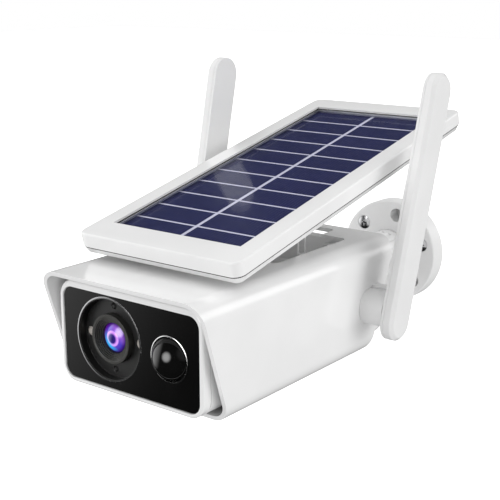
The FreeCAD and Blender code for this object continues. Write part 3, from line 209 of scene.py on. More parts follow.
class Graph:
    """The nodes of one material, or of the surroundings, while they are being joined up."""

    def __init__(self, owner: bpy.types.Material | bpy.types.World) -> None:
        """Clears the owner's nodes and starts afresh."""
        owner.use_nodes = True
        self.owner = owner
        self.tree = owner.node_tree
        self.tree.nodes.clear()

    def node(
        self,
        kind: str,
        settings: Mapping[str, Any] | None = None,
        inputs: Mapping[str | int, Any] | None = None,
    ) -> bpy.types.Node:
        """Adds a node, sets it up and then feeds its sockets.

        Args:
            kind: The node's type.
            settings: Properties to set first, such as an operation.
            inputs: A number, a colour, a socket or a Value for each socket that needs one.

        Returns:
            The new node.
        """
        made = self.tree.nodes.new(kind)
        for key, value in (settings or {}).items():
            setattr(made, key, value)
        for key, value in (inputs or {}).items():
            if isinstance(value, Value):
                value = value.socket
            if isinstance(value, bpy.types.NodeSocket):
                self.tree.links.new(value, made.inputs[key])
            else:
                made.inputs[key].default_value = value
        return made

    def place(self, offset: Vector | None = None, stretch: Colour = (1, 1, 1)) -> bpy.types.NodeSocket:
        """The object's own coordinates, with a point moved to the origin and stretched.

        Args:
            offset: The point that becomes the origin.
            stretch: A scale for each axis.

        Returns:
            The vector socket.
        """
        coordinates = self.node("ShaderNodeTexCoord").outputs["Object"]
        if offset is None and stretch == (1, 1, 1):
            return coordinates
        moved = [-s * o for s, o in zip(stretch, offset or (0, 0, 0))]
        inputs = {"Vector": coordinates, "Location": moved, "Scale": stretch}
        return self.node("ShaderNodeMapping", None, inputs).outputs[0]

    def axes(self, vector: bpy.types.NodeSocket) -> tuple[Value, Value, Value]:
        """Splits a vector into its three values."""
        outputs = self.node("ShaderNodeSeparateXYZ", None, {0: vector}).outputs
        return Value(self, outputs[0]), Value(self, outputs[1]), Value(self, outputs[2])

    def noise(self, size: float, detail: float = 2.0, stretch: Colour = (1, 1, 1)) -> Value:
        """Soft noise whose lumps are about one size across.

        Args:
            size: The size of a lump, in metres.
            detail: How many finer layers lie on it.
            stretch: A scale for each axis.

        Returns:
            The noise, about 0 to 1.
        """
        inputs = {"Vector": self.place(None, stretch), "Scale": 1 / size, "Detail": detail}
        return Value(self, self.node("ShaderNodeTexNoise", None, inputs).outputs[0])

    def crystals(self, size: float) -> bpy.types.NodeSocket:
        """A random colour for each small flat patch of one size."""
        inputs = {"Vector": self.place(), "Scale": 1 / size}
        return self.node("ShaderNodeTexVoronoi", None, inputs).outputs["Color"]

    def blend(self, factor: Any, first: Any, second: Any) -> bpy.types.NodeSocket:
        """Mixes two colours.

        Args:
            factor: How much of the second colour shows.
            first: A colour or a colour socket.
            second: A colour or a colour socket.

        Returns:
            The mixed colour.
        """
        ends = [c if isinstance(c, bpy.types.NodeSocket) else (*c, 1.0) for c in (first, second)]
        inputs = {0: factor, 6: ends[0], 7: ends[1]}
        return self.node("ShaderNodeMix", {"data_type": "RGBA"}, inputs).outputs[2]

    def ramp(self, value: Value, stops: Sequence[tuple[float, Colour]]) -> bpy.types.NodeSocket:
        """Turns a value into a colour through a run of stops.

        Args:
            value: Where to look, 0 to 1.
            stops: Each stop's place and colour.

        Returns:
            The colour.
        """
        made = self.node("ShaderNodeValToRGB", None, {0: value})
        elements = made.color_ramp.elements
        while len(elements) < len(stops):
            elements.new(0.5)
        for element, (at, colour) in zip(elements, stops):
            element.position = at
            element.color = (*colour, 1.0)
        return made.outputs[0]

    def bump(self, height: Value, depth: float, strength: float) -> bpy.types.NodeSocket:
        """The surface normal for small raised and sunk marks.

        Args:
            height: The marks, 0 to 1.
            depth: How deep they are, in metres.
            strength: How much they count.

        Returns:
            The normal.
        """
        inputs = {"Strength": strength, "Distance": depth, "Height": height}
        return self.node("ShaderNodeBump", None, inputs).outputs[0]

    def shader(self, inputs: Mapping[str, Any]) -> bpy.types.NodeSocket:
        """A Principled shader with the sockets that are given."""
        return self.node("ShaderNodeBsdfPrincipled", None, inputs).outputs[0]

    def finish(self, shader: bpy.types.NodeSocket) -> bpy.types.Material:
        """Joins a shader to the output."""
        self.node("ShaderNodeOutputMaterial", None, {0: shader})
        return self.owner


def new_graph(name: str) -> Graph:
    """A graph for a new material."""
    return Graph(bpy.data.materials.new(name))


# ------------------------------------------------------------------ finishes


@dataclass(frozen=True)
class Finish:
    """A named finish that stands for one material slot."""

    name: str
    slot: Slot

    def build(self) -> bpy.types.Material:
        """Makes the material."""
        raise NotImplementedError


@dataclass(frozen=True)
class Moulding(Finish):
    """Injection-moulded plastic or rubber with a fine spark-eroded grain."""

    colour: Colour = (0.8, 0.8, 0.8)
    roughness: float = 0.3
    grain: float = 0.35 * MM
    grain_depth: float = 0.02 * MM
    coat: float = 0.0
    shade: float = 0.05
    wear: float = 0.03

    def build(self) -> bpy.types.Material:
        """Makes the material: slow shade drift, faint rub marks and an even grain."""
        graph = new_graph(self.name)
        drift = graph.noise(48 * MM, 3.0)
        rubs = graph.noise(16 * MM, 3.0).step(0.5, 0.8)
        grain = graph.noise(self.grain, 1.0)
        darker = tuple(c * (1 - self.shade) for c in self.colour)
        colour = graph.blend(drift.step(0.3, 0.7), self.colour, darker)
        worn = tuple(c * 0.9 for c in self.colour)
        return graph.finish(graph.shader({
            "Base Color": graph.blend(rubs * self.wear, colour, (*worn,)),
            "Roughness": self.roughness + (drift - 0.5) * 0.06 + rubs * 0.03 + (grain - 0.5) * 0.06,
            "Coat Weight": self.coat,
            "Coat Roughness": 0.05,
            "Normal": graph.bump(grain, self.grain_depth, 0.35),
        }))


@dataclass(frozen=True)
class Metal(Finish):
    """Turned or plated metal with fine tool marks."""

    colour: Colour = (0.8, 0.8, 0.8)
    roughness: float = 0.18
    marks: float = 0.12 * MM

    def build(self) -> bpy.types.Material:
        """Makes the material: tool marks, a little tarnish and uneven polish."""
        graph = new_graph(self.name)
        marks = graph.noise(self.marks, 2.0, (1.0, 6.0, 1.0))
        tarnish = graph.noise(2.2 * MM, 4.0).step(0.5, 0.8)
        dull = tuple(c * 0.72 for c in self.colour)
        return graph.finish(graph.shader({
            "Base Color": graph.blend(tarnish * 0.5, self.colour, dull),
            "Roughness": self.roughness + tarnish * 0.12 + (marks - 0.5) * 0.08,
            "Metallic": 1.0,
            "Normal": graph.bump(marks, 0.01 * MM, 0.25),
        }))


@dataclass(frozen=True)
class Gloss(Finish):
    """Polished dark glass or hard plastic, with faint smears in its polish."""

    colour: Colour = (0.01, 0.01, 0.012)
    roughness: float = 0.04
    level: float = 0.5

    def build(self) -> bpy.types.Material:
        """Makes the material: an even colour and a polish with faint smears."""
        graph = new_graph(self.name)
        smear = graph.noise(14 * MM, 4.0, (1.0, 1.0, 0.4))
        dust = graph.noise(0.5 * MM, 2.0).step(0.70, 0.80)
        lighter = tuple(c + 0.004 for c in self.colour)
        return graph.finish(graph.shader({
            "Base Color": graph.blend(dust * 0.5 + smear * 0.3, self.colour, lighter),
            "Roughness": self.roughness + smear.step(0.45, 0.8) * 0.05 + dust * 0.1,
            "Specular IOR Level": self.level,
        }))


@dataclass(frozen=True)
class ClearPane(Finish):
    """A clear sheet that shows what is under it and reflects what is above."""

    strength: float = 0.32
    roughness: float = 0.03

    def build(self) -> bpy.types.Material:
        """Makes the material: see-through, with a gloss that grows at low angles."""
        graph = new_graph(self.name)
        smear = graph.noise(30 * MM, 3.0, (0.4, 1.0, 1.0)).step(0.4, 0.9)
        gloss = graph.node("ShaderNodeBsdfAnisotropic", None, {
            "Color": (1.0, 1.0, 1.0, 1.0),
            "Roughness": self.roughness + smear * 0.05,
        })
        clear = graph.node("ShaderNodeBsdfTransparent", None, {0: (0.98, 0.985, 1.0, 1.0)})
        facing = graph.node("ShaderNodeLayerWeight", None, {"Blend": 0.5}).outputs["Facing"]
        shine = Value(graph, facing) ** 5 * 0.96 + 0.04
        mixed = graph.node("ShaderNodeMixShader", None, {
            0: shine * self.strength,
            1: clear.outputs[0],
            2: gloss.outputs[0],
        })
        return graph.finish(mixed.outputs[0])


@dataclass(frozen=True)
class SolarCell(Finish):
    """A dark blue silicon cell with fine silver fingers."""

    colour: Colour = (0.018, 0.021, 0.066)
    bright: Colour = (0.030, 0.033, 0.112)
    finger_pitch: float = 1.9 * MM
    finger_width: float = 0.10 * MM

    def build(self) -> bpy.types.Material:
        """Makes the material: crystal patches, drifting blue and printed fingers."""
        graph = new_graph(self.name)
        across, _, _ = graph.axes(graph.place())
        fingers = across.saw(self.finger_pitch).step(self.finger_width, self.finger_width * 0.4)
        patches = graph.axes(graph.crystals(5 * MM))[0]
        drift = graph.noise(60 * MM, 3.0)
        blue = graph.blend(drift * 0.6 + patches * 0.25, self.colour, self.bright)
        return graph.finish(graph.shader({
            "Base Color": graph.blend(fingers * 0.22, blue, (0.40, 0.40, 0.52)),
            "Roughness": 0.34 + patches * 0.10,
            "Specular IOR Level": 0.15,
        }))


@dataclass(frozen=True)
class LensPaintedReflections(Finish):
    """A coated camera lens whose colours are painted reflections: rings of violet, blue and cyan round a
    painted dark pupil, made to glow a little.
    """

    centre: tuple[float, float, float] = (0, 0, 0)
    radius: float = 7.7 * MM

    def build(self) -> bpy.types.Material:
        """Makes the material: painted reflection rings by distance from the lens axis, a painted glare
        and painted reflections tinted by side, and a faint painted glow.
        """
        graph = new_graph(self.name)
        x, _, z = graph.axes(graph.place(Vector(self.centre), (1 / self.radius,) * 3))
        reach = (x * x + z * z) ** 0.5
        # Painted reflections in rings, with a painted dark pupil in the middle.
        rings = graph.ramp(reach, [
            (0.0, (0.012, 0.008, 0.10)), (0.28, (0.03, 0.012, 0.20)),
            (0.40, (0.62, 0.26, 0.86)), (0.47, (0.70, 0.34, 0.90)),
            (0.55, (0.10, 0.05, 0.50)), (0.72, (0.07, 0.04, 0.48)),
            (0.88, (0.04, 0.008, 0.20)), (1.0, (0.004, 0.002, 0.02)),
        ])
        # Painted glare on the upper right, painted cyan reflection on the lower left and painted violet
        # reflection on the left, set by side and not by any light.
        painted_glare = (x * 0.70 + z * 0.75).step(0.15, 0.75) * reach.step(1.0, 0.7) * reach.step(0.3, 0.5)
        cyan = (x * -0.75 - z * 0.65).step(0.10, 0.60) * reach.step(0.95, 0.60) * reach.step(0.2, 0.4)
        violet = (x * -1.0 + z * 0.25).step(0.35, 0.9)
        colour = graph.blend(painted_glare * 0.7, rings, (0.42, 0.16, 0.72))
        colour = graph.blend(cyan * 0.9, colour, (0.02, 0.50, 0.92))
        colour = graph.blend(violet * 0.5, colour, (0.16, 0.01, 0.36))
        return graph.finish(graph.shader({
            "Base Color": colour,
            "Roughness": 0.08 + graph.noise(2 * MM) * 0.04,
            # The painted reflections also glow, though the lens is no lamp.
            "Emission Color": colour,
            "Emission Strength": 0.35,
            "Coat Weight": 0.3,
            "Coat Roughness": 0.02,
        }))


@dataclass(frozen=True)
class Board(Finish):
    """A circuit board with solder mask over copper tracks."""

    colour: Colour = (0.01, 0.09, 0.035)
    pitch: float = 1.27 * MM

    def build(self) -> bpy.types.Material:
        """Makes the material: tracks on a grid, broken up by noise."""
        graph = new_graph(self.name)
        x, y, _ = graph.axes(graph.place())
        broken = graph.noise(6 * MM, 1.0)
        tracks = x.saw(self.pitch).step(0.35 * MM, 0.2 * MM) * broken.step(0.5, 0.55)
        crossing = y.saw(self.pitch).step(0.35 * MM, 0.2 * MM) * broken.step(0.45, 0.4)
        copper = tracks + crossing
        return graph.finish(graph.shader({
            "Base Color": graph.blend(copper * 0.5, self.colour, (0.03, 0.2, 0.07)),
            "Roughness": 0.35 - copper * 0.1,
            "Normal": graph.bump(copper, 0.03 * MM, 0.4),
        }))


# ------------------------------------------------------------------ the object's own finishes

WHITE = Moulding("gloss_white", Slot.WHITE, (0.85, 0.85, 0.85), 0.22, coat=0.3)
CASE_WHITE = Moulding("case_white", Slot.CASE, (0.84, 0.84, 0.84), 0.30, coat=0.1)
SATIN = Moulding("antenna_satin", Slot.ANTENNA, (0.80, 0.80, 0.80), 0.38, grain=0.5 * MM)
BLACK = Moulding("black_plastic", Slot.BLACK_PLASTIC, (0.008, 0.008, 0.008), 0.38)
BARREL = Moulding("barrel_black", Slot.BLACK_PLASTIC, (0.028, 0.028, 0.025), 0.36)
DOME = Gloss("dome_black", Slot.DOME, (0.005, 0.005, 0.005), 0.07, 0.4)
BLACK_GLASS = Gloss("black_glass", Slot.BLACK_GLASS, (0.004, 0.004, 0.004), 0.05, 0.5)
CHROME = Metal("chrome", Slot.CHROME, (0.72, 0.72, 0.73), 0.12)
DARK_TRIM = Metal("dark_trim", Slot.TRIM, (0.34, 0.34, 0.345), 0.20)
TRIM = Metal("bright_trim", Slot.TRIM, (0.66, 0.66, 0.66), 0.20)
STEEL = Metal("steel", Slot.STEEL, (0.56, 0.56, 0.56), 0.28)
BRASS = Metal("brass", Slot.BRASS, (0.72, 0.50, 0.22), 0.25)
NYLON = Moulding("nylon", Slot.NYLON, (0.75, 0.74, 0.70), 0.5)
RUBBER = Moulding("rubber", Slot.RUBBER, (0.02, 0.02, 0.02), 0.7, grain=0.6 * MM)
GREY_RUBBER = Moulding("grey_rubber", Slot.GREY_RUBBER, (0.62, 0.62, 0.63), 0.62)
CLEAR_EPOXY = Gloss("clear_epoxy", Slot.CLEAR_EPOXY, (0.42, 0.39, 0.36), 0.10)
DARK_EPOXY = Gloss("dark_epoxy", Slot.DARK_EPOXY, (0.03, 0.03, 0.03), 0.15)
BOARD_GREEN = Board("board_green", Slot.BOARD)
WRAP = Moulding("battery_wrap", Slot.WRAP, (0.05, 0.12, 0.35), 0.3)
PANE = ClearPane("panel_pane", Slot.PANE)
CELL = SolarCell("silicon_cell", Slot.SILICON)
RIBBON = Moulding("tinned_ribbon", Slot.SILICON, (0.62, 0.62, 0.74), 0.35, grain=0.5 * MM)
BACKING = Moulding("backing_board", Slot.BACKING, (0.40, 0.40, 0.56), 0.4, grain=0.8 * MM)


# ------------------------------------------------------------------ workshop


class Workshop:
    """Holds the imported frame, and hands finished pieces to their bodies."""

    def __init__(self, frame: Mapping[str, Any]) -> None:
        """Keeps the frame and which body each CAD node rides on."""
        self.nodes: dict[str, bpy.types.Object] = frame["nodes"]
        self.joints: list[dict[str, Any]] = frame["joints"]
        bodies = frame["record"]["behaviour"]["bodies"]
        self.body_of = {node: body for body, nodes in bodies.items() for node in nodes}
        self.materials: dict[str, bpy.types.Material] = {}

    def material(self, finish: Finish) -> bpy.types.Material:
        """The finish's material, made the first time it is asked for."""
        if finish.name not in self.materials:
            self.materials[finish.name] = finish.build()
        return self.materials[finish.name]

    def dress(self, finish: Finish, *names: str) -> None:
        """Gives CAD nodes a finish.

        Args:
            finish: The finish they take.
            names: The nodes.
        """
        for name in names:
            data = self.nodes[name].data
            data.materials.clear()
            data.materials.append(self.material(finish))
            LOG.info("dressed %s in %s", name, finish.name)

    def add(
        self,
        name: str,
        mesh: bpy.types.Mesh,
        finish: Finish,
        body: str,
        stands_for: Iterable[str] = (),
        sharp: float = 32.0,
    ) -> bpy.types.Object:
        """Puts a mesh into the scene as a piece that rides on a body.

        Args:
            name: The piece's name.
            mesh: Its mesh, already in the model's frame.
            finish: The finish it takes.
            body: The body it rides on.
            stands_for: CAD nodes that it replaces.
            sharp: Edges turned by more than this many degrees stay crisp.

        Returns:
            The piece.
        """
        mesh.name = name
        mesh.materials.clear()
        mesh.materials.append(self.material(finish))
        mesh.polygons.foreach_set("material_index", [0] * len(mesh.polygons))
        mesh.shade_smooth()
        mesh.set_sharp_from_angle(angle=math.radians(sharp))
        piece = bpy.data.objects.new(name, mesh)
        bpy.context.scene.collection.objects.link(piece)
        if stands_for:
            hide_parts(*stands_for)
        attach(piece, body)
        LOG.info("built %s, %d faces, on %s", name, len(mesh.polygons), body)
        return piece

    def soften(
        self, node: str, finish: Finish, width: float, segments: int = 3, angle: float = 32.0
    ) -> bpy.types.Object:
        """Replaces a CAD node by a copy of it with small rounded edges.

        Args:
            node: The CAD node.
            finish: The finish the copy takes.
            width: The rounding's width, in metres.
            segments: How many strips make up the rounding.
            angle: Edges turned by more than this many degrees are rounded.

        Returns:
            The new piece.
        """
        piece = self.add(f"{node}_shown", merged_copy(self.nodes[node].data), finish,
                         self.body_of[node], [node], angle)
        round_edges(piece, width, segments, angle)
        return piece

    def screw_heads(
        self, node: str, turn: tuple[float, float, float], radius: float, height: float
    ) -> bpy.types.Object:
        """Replaces a group of screws by detailed heads on plain shanks.

        Args:
            node: The CAD node that holds the group.
            turn: The turn that takes +Z to the way the heads face.
            radius: A head's radius, in metres.
            height: A head's height at its edge, in metres.

        Returns:
            The piece.
        """
        facing = Euler(turn).to_matrix() @ Vector((0, 0, 1))
        seats = []
        for points in solids(self.nodes[node].data):
            reach = [facing.dot(p) for p in points]
            across = [p - facing * facing.dot(p) for p in points]
            low, high = extent(across)
            seats.append((low + high) / 2 + facing * (max(reach) - height))
        screws = Screws(radius, height * 0.75, height * 0.25, turn, min(reach) - max(reach) + height)
        mesh = screws.build(seats, self.material(CHROME))
        return self.add(f"{node}_shown", mesh, CHROME, self.body_of[node], [node], 28.0)


def merged_copy(source: bpy.types.Mesh) -> bpy.types.Mesh:
    """A copy of a CAD mesh with its triangles joined into whole flat faces.

    Args:
        source: The node's mesh of loose triangles.

    Returns:
        The new mesh.
    """
    shape = bmesh.new()
    shape.from_mesh(source)
    bmesh.ops.remove_doubles(shape, verts=shape.verts, dist=2e-6)
    bmesh.ops.dissolve_degenerate(shape, edges=shape.edges, dist=1e-6)
    bmesh.ops.dissolve_limit(
        shape, verts=shape.verts, edges=shape.edges, angle_limit=math.radians(0.4)
    )
    mesh = bpy.data.meshes.new("copy")
    shape.to_mesh(mesh)
    shape.free()
    for layer in [a for a in mesh.attributes if a.name == "custom_normal"]:
        mesh.attributes.remove(layer)
    return mesh


def round_edges(piece: bpy.types.Object, width: float, segments: int, angle: float) -> None:
    """Adds a live rounding to a piece's crisp edges.

    Args:
        piece: The piece.
        width: The rounding's width, in metres.
        segments: How many strips make up the rounding.
        angle: Edges turned by more than this many degrees are rounded.
    """
    bevel = piece.modifiers.new("Rounding", "BEVEL")
    bevel.width = width
    bevel.segments = segments
    bevel.limit_method = "ANGLE"
    bevel.angle_limit = math.radians(angle)
    bevel.use_clamp_overlap = True
    bevel.harden_normals = True


def extent(points: Iterable[Vector]) -> tuple[Vector, Vector]:
    """The lowest and highest corner round some points."""
    points = list(points)
    low = Vector(min(p[i] for p in points) for i in range(3))
    high = Vector(max(p[i] for p in points) for i in range(3))
    return low, high


def solids(mesh: bpy.types.Mesh) -> list[list[Vector]]:
    """Finds the separate solids of a CAD mesh.

    Args:
        mesh: A mesh of loose triangles that form one or several solids.

    Returns:
        The points of each solid, in a fixed order.
    """
    shape = bmesh.new()
    shape.from_mesh(mesh)
    bmesh.ops.remove_doubles(shape, verts=shape.verts, dist=2e-6)
    shape.verts.ensure_lookup_table()
    waiting = dict.fromkeys(range(len(shape.verts)))
    found = []
    while waiting:
        first = next(iter(waiting))
        del waiting[first]
        group, fringe = [first], [first]
        while fringe:
            for edge in shape.verts[fringe.pop()].link_edges:
                for vert in edge.verts:
                    if vert.index in waiting:
                        del waiting[vert.index]
                        group.append(vert.index)
                        fringe.append(vert.index)
        found.append([shape.verts[i].co.copy() for i in group])
    shape.free()
    return sorted(found, key=lambda points: tuple(round(v, 5) for v in extent(points)[0]))


def closed(shape: bmesh.types.BMesh, name: str) -> bpy.types.Mesh:
    """Turns a closed shape's faces outwards and makes it a mesh.

    Args:
        shape: The shape, which is freed.
        name: The mesh's name.

    Returns:
        The mesh.
    """
    bmesh.ops.recalc_face_normals(shape, faces=shape.faces)
    mesh = bpy.data.meshes.new(name)
    shape.to_mesh(mesh)
    shape.free()
    return mesh


def front_centre(node: str) -> tuple[Vector, float]:
    """Where a round CAD node that faces forwards has its front, and its radius.

    Args:
        node: The node.

    Returns:
        The centre of its front and its radius.
    """
    low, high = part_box(node)
    return Vector(((low.x + high.x) / 2, low.y, (low.z + high.z) / 2)), (high.x - low.x) / 2


def lathe(
    profile: Sequence[tuple[float, float]], centre: Vector, steps: int = 96
) -> bpy.types.Mesh:
    """Turns a profile about an axis that runs along -Y through a point.

    Args:
        profile: Pairs of radius and distance forwards, in metres, from the front axis round.
        centre: The point that distance forwards is measured from.
        steps: How many sides the turned shape has.

    Returns:
        The closed mesh, facing outwards.
    """
    shape = bmesh.new()
    rings = []
    for radius, forward in profile:
        if radius < 1e-7:
            rings.append([shape.verts.new(centre + Vector((0, -forward, 0)))])
            continue
        turn = [2 * math.pi * i / steps for i in range(steps)]
        rings.append([
            shape.verts.new(centre + Vector((radius * math.cos(a), -forward, radius * math.sin(a))))
            for a in turn
        ])
    for inner, outer in zip(rings, rings[1:]):
        for i in range(steps):
            j = (i + 1) % steps
            corners = [inner[i % len(inner)], inner[j % len(inner)], outer[j % len(outer)],
                       outer[i % len(outer)]]
            corners = list(dict.fromkeys(corners))
            if len(corners) > 2:
                shape.faces.new(corners)
    bmesh.ops.remove_doubles(shape, verts=shape.verts, dist=1e-6)
    return closed(shape, "turned")


# ------------------------------------------------------------------ geometry trees


class Tree:
    """A Geometry Nodes tree with named sizes, built node by node."""

    def __init__(self, name: str, sizes: Mapping[str, float | int | Sequence[float]]) -> None:
        """Starts a tree that takes a geometry and the named sizes.

        Args:
            name: The tree's name.
            sizes: Each size's name and its value.
        """
        self.group = bpy.data.node_groups.new(name, "GeometryNodeTree")
        self.sizes = dict(sizes)
        face = self.group.interface
        face.new_socket("Geometry", in_out="INPUT", socket_type="NodeSocketGeometry")
        for key, value in sizes.items():
            kind = {int: "NodeSocketInt", float: "NodeSocketFloat"}.get(type(value), "NodeSocketVector")
            face.new_socket(key, in_out="INPUT", socket_type=kind)
        face.new_socket("Geometry", in_out="OUTPUT", socket_type="NodeSocketGeometry")
        self.entry = self.group.nodes.new("NodeGroupInput")
        self.exit = self.group.nodes.new("NodeGroupOutput")

    def size(self, name: str) -> bpy.types.NodeSocket:
        """The socket of a named size, or of the geometry."""
        return self.entry.outputs[name]

    def node(
        self,
        kind: str,
        settings: Mapping[str, Any] | None = None,
        inputs: Mapping[str | int, Any] | None = None,
    ) -> bpy.types.Node:
        """Adds a node, sets it up and then feeds its sockets.

        Args:
            kind: The node's type.
            settings: Properties to set first.
            inputs: A number or a socket for each socket that needs one; a list joins several.

        Returns:
            The new node.
        """
        made = self.group.nodes.new(kind)
        for key, value in (settings or {}).items():
            setattr(made, key, value)
        for key, value in (inputs or {}).items():
            for one in value if isinstance(value, list) else [value]:
                if isinstance(one, bpy.types.NodeSocket):
                    self.group.links.new(one, made.inputs[key])
                else:
                    made.inputs[key].default_value = one
        return made

    def math(self, operation: str, first: Any, second: Any = 0.0) -> bpy.types.NodeSocket:
        """One Math node's result.

        Args:
            operation: What the node does.
            first: Its first number or socket.
            second: Its second number or socket.

        Returns:
            The result.
        """
        return self.node("ShaderNodeMath", {"operation": operation}, {0: first, 1: second}).outputs[0]

    def vector(self, x: Any = 0.0, y: Any = 0.0, z: Any = 0.0) -> bpy.types.NodeSocket:
        """A vector from three values.

        Args:
            x: The number or socket for its X.
            y: The number or socket for its Y.
            z: The number or socket for its Z.

        Returns:
            The vector.
        """
        return self.node("ShaderNodeCombineXYZ", None, {0: x, 1: y, 2: z}).outputs[0]

    def grow(self, geometry: bpy.types.NodeSocket, base: bpy.types.Mesh,
             material: bpy.types.Material) -> bpy.types.Mesh:
        """Closes the tree, runs it on a base mesh and returns a plain mesh.

        Args:
            geometry: The geometry that the tree has made.
            base: The mesh that the tree starts from.
            material: The material of everything it makes.

        Returns:
            The plain mesh.
        """
        real = self.node("GeometryNodeRealizeInstances", None, {0: geometry}).outputs[0]
        dressed = self.node("GeometryNodeSetMaterial", None, {"Geometry": real, "Material": material})
        self.group.links.new(dressed.outputs[0], self.exit.inputs[0])
        holder = bpy.data.objects.new("holder", base)
        bpy.context.scene.collection.objects.link(holder)
        modifier = holder.modifiers.new("Tree", "NODES")
        modifier.node_group = self.group
        for item in self.group.interface.items_tree:
            if item.in_out == "INPUT" and item.name in self.sizes:
                modifier[item.identifier] = self.sizes[item.name]
        seen = holder.evaluated_get(bpy.context.evaluated_depsgraph_get())
        mesh = bpy.data.meshes.new_from_object(seen)
        bpy.data.objects.remove(holder)
        return mesh


def points_mesh(points: Iterable[Vector]) -> bpy.types.Mesh:
    """A mesh that holds only points."""
    mesh = bpy.data.meshes.new("points")
    mesh.from_pydata([tuple(p) for p in points], [], [])
    return mesh


@dataclass(frozen=True)
class Screws:
    """Pan-head screws with a cross recess, one at each point."""

    radius: float
    height: float
    crown: float
    turn: tuple[float, float, float] = (0.0, 0.0, 0.0)
    foot: float = -3 * MM
    shank: float = 0.48
    recess: float = 0.58
    slot: float = 0.11

    def build(self, points: Sequence[Vector], material: bpy.types.Material) -> bpy.types.Mesh:
        """Makes all the screw heads of a group as one mesh.

        Args:
            points: The middle of each head's underside.
            material: Their material.

        Returns:
            The mesh.
        """
        tree = Tree("screw_heads", {
            "Radius": self.radius, "Height": self.height, "Crown": self.crown,
            "Recess": self.recess, "Slot": self.slot, "Turn": self.turn,
            "Shank": self.shank, "Foot": self.foot,
        })
        half = tree.math("DIVIDE", tree.size("Height"), 2.0)
        drum = tree.node("GeometryNodeMeshCylinder", {"fill_type": "TRIANGLE_FAN"}, {
            "Vertices": 40, "Side Segments": 1, "Fill Segments": 6,
            "Radius": tree.size("Radius"), "Depth": tree.size("Height"),
        }).outputs["Mesh"]
        place = tree.node("GeometryNodeInputPosition").outputs[0]
        reach = tree.node("ShaderNodeVectorMath", {"operation": "LENGTH"}, {
            0: tree.node("ShaderNodeVectorMath", {"operation": "MULTIPLY"},
                         {0: place, 1: (1.0, 1.0, 0.0)}).outputs[0],
        }).outputs["Value"]
        share = tree.math("POWER", tree.math("DIVIDE", reach, tree.size("Radius")), 2.0)
        lift = tree.math("MULTIPLY", tree.math("SUBTRACT", 1.0, share), tree.size("Crown"))
        above = tree.node("FunctionNodeCompare", {"data_type": "FLOAT", "operation": "GREATER_THAN"}, {
            0: tree.node("ShaderNodeSeparateXYZ", None, {0: place}).outputs[2], 1: 0.0,
        }).outputs[0]
        domed = tree.node("GeometryNodeSetPosition", None, {
            "Geometry": drum, "Selection": above, "Offset": tree.vector(0.0, 0.0, lift),
        }).outputs[0]
        long = tree.math("MULTIPLY", tree.size("Radius"), tree.math("MULTIPLY", tree.size("Recess"), 2.0))
        thin = tree.math("MULTIPLY", tree.size("Radius"), tree.math("MULTIPLY", tree.size("Slot"), 2.0))
        arms = [
            tree.node("GeometryNodeMeshCube", None, {"Size": tree.vector(a, b, tree.size("Height"))})
            for a, b in ((long, thin), (thin, long))
        ]
        top = tree.math("ADD", half, tree.size("Crown"))
        raised = [
            tree.node("GeometryNodeTransform", None, {
                "Geometry": arm.outputs["Mesh"], "Translation": tree.vector(0.0, 0.0, top),
            }).outputs[0]
            for arm in arms
        ]
        recessed = tree.node("GeometryNodeMeshBoolean", {"operation": "DIFFERENCE"},
                             {0: domed, 1: raised}).outputs[0]
        lifted = tree.node("GeometryNodeTransform", None, {
            "Geometry": recessed, "Translation": tree.vector(0.0, 0.0, half),
        }).outputs[0]
        rod = tree.node("GeometryNodeMeshCylinder", None, {
            "Vertices": 20, "Radius": tree.math("MULTIPLY", tree.size("Radius"), tree.size("Shank")),
            "Depth": tree.math("ABSOLUTE", tree.size("Foot")),
        }).outputs["Mesh"]
        low = tree.node("GeometryNodeTransform", None, {
            "Geometry": rod,
            "Translation": tree.vector(0.0, 0.0, tree.math("MULTIPLY", tree.size("Foot"), 0.5)),
        }).outputs[0]
        whole = tree.node("GeometryNodeJoinGeometry", None, {0: [lifted, low]}).outputs[0]
        spots = tree.node("GeometryNodeMeshToPoints", None, {0: tree.size("Geometry")}).outputs[0]
        rotation = tree.node("FunctionNodeEulerToRotation", None, {0: tree.size("Turn")}).outputs[0]
        placed = tree.node("GeometryNodeInstanceOnPoints", None, {
            "Points": spots, "Instance": whole, "Rotation": rotation,
        }).outputs[0]
        return tree.grow(placed, points_mesh(points), material)


# ------------------------------------------------------------------ sub-assemblies


@dataclass
class WallBracket:
    """The round wall plate, its ball joint and the post to the camera."""

    shop: Workshop

    def build(self) -> None:
        """Builds and dresses every piece of the bracket."""
        self.shop.soften("wall_base_cover", SATIN, 0.35 * MM)
        self.shop.soften("wall_base_plate", CASE_WHITE, 0.3 * MM)
        self.shop.soften("clamp_ring", SATIN, 0.3 * MM)
        self.shop.soften("lock_nut", SATIN, 0.3 * MM)
        self.shop.soften("ball_stud", SATIN, 0.25 * MM)
        self.shop.dress(NYLON, "ball_seat")
        self.shop.dress(STEEL, "stud_screw")
        self.shop.screw_heads("base_screws", (math.pi / 2, 0.0, 0.0), 4.2 * MM, 1.7 * MM)


@dataclass
class CameraCase:
    """The rounded case, its rear cap, the hood round it and the port underneath."""

    shop: Workshop

    def build(self) -> None:
        """Builds and dresses every piece of the case."""
        self.shop.soften("hood", WHITE, 0.5 * MM)
        self.shop.soften("case", CASE_WHITE, 0.3 * MM)
        self.shop.soften("rear_cap", CASE_WHITE, 0.4 * MM)
        self.shop.soften("antenna_hub_right", SATIN, 0.3 * MM)
        self.shop.soften("antenna_hub_left", SATIN, 0.3 * MM)
        self.shop.screw_heads("rear_cap_screws", (-math.pi / 2, 0.0, 0.0), 2.8 * MM, 1.6 * MM)
        self.shop.dress(BRASS, "threaded_insert")
        self.shop.dress(GREY_RUBBER, "port_cover", "reset_button", "power_button")
        self.shop.dress(CASE_WHITE, "port_frame")
        self.shop.dress(STEEL, "arm_pin", "usb_socket", "card_socket")


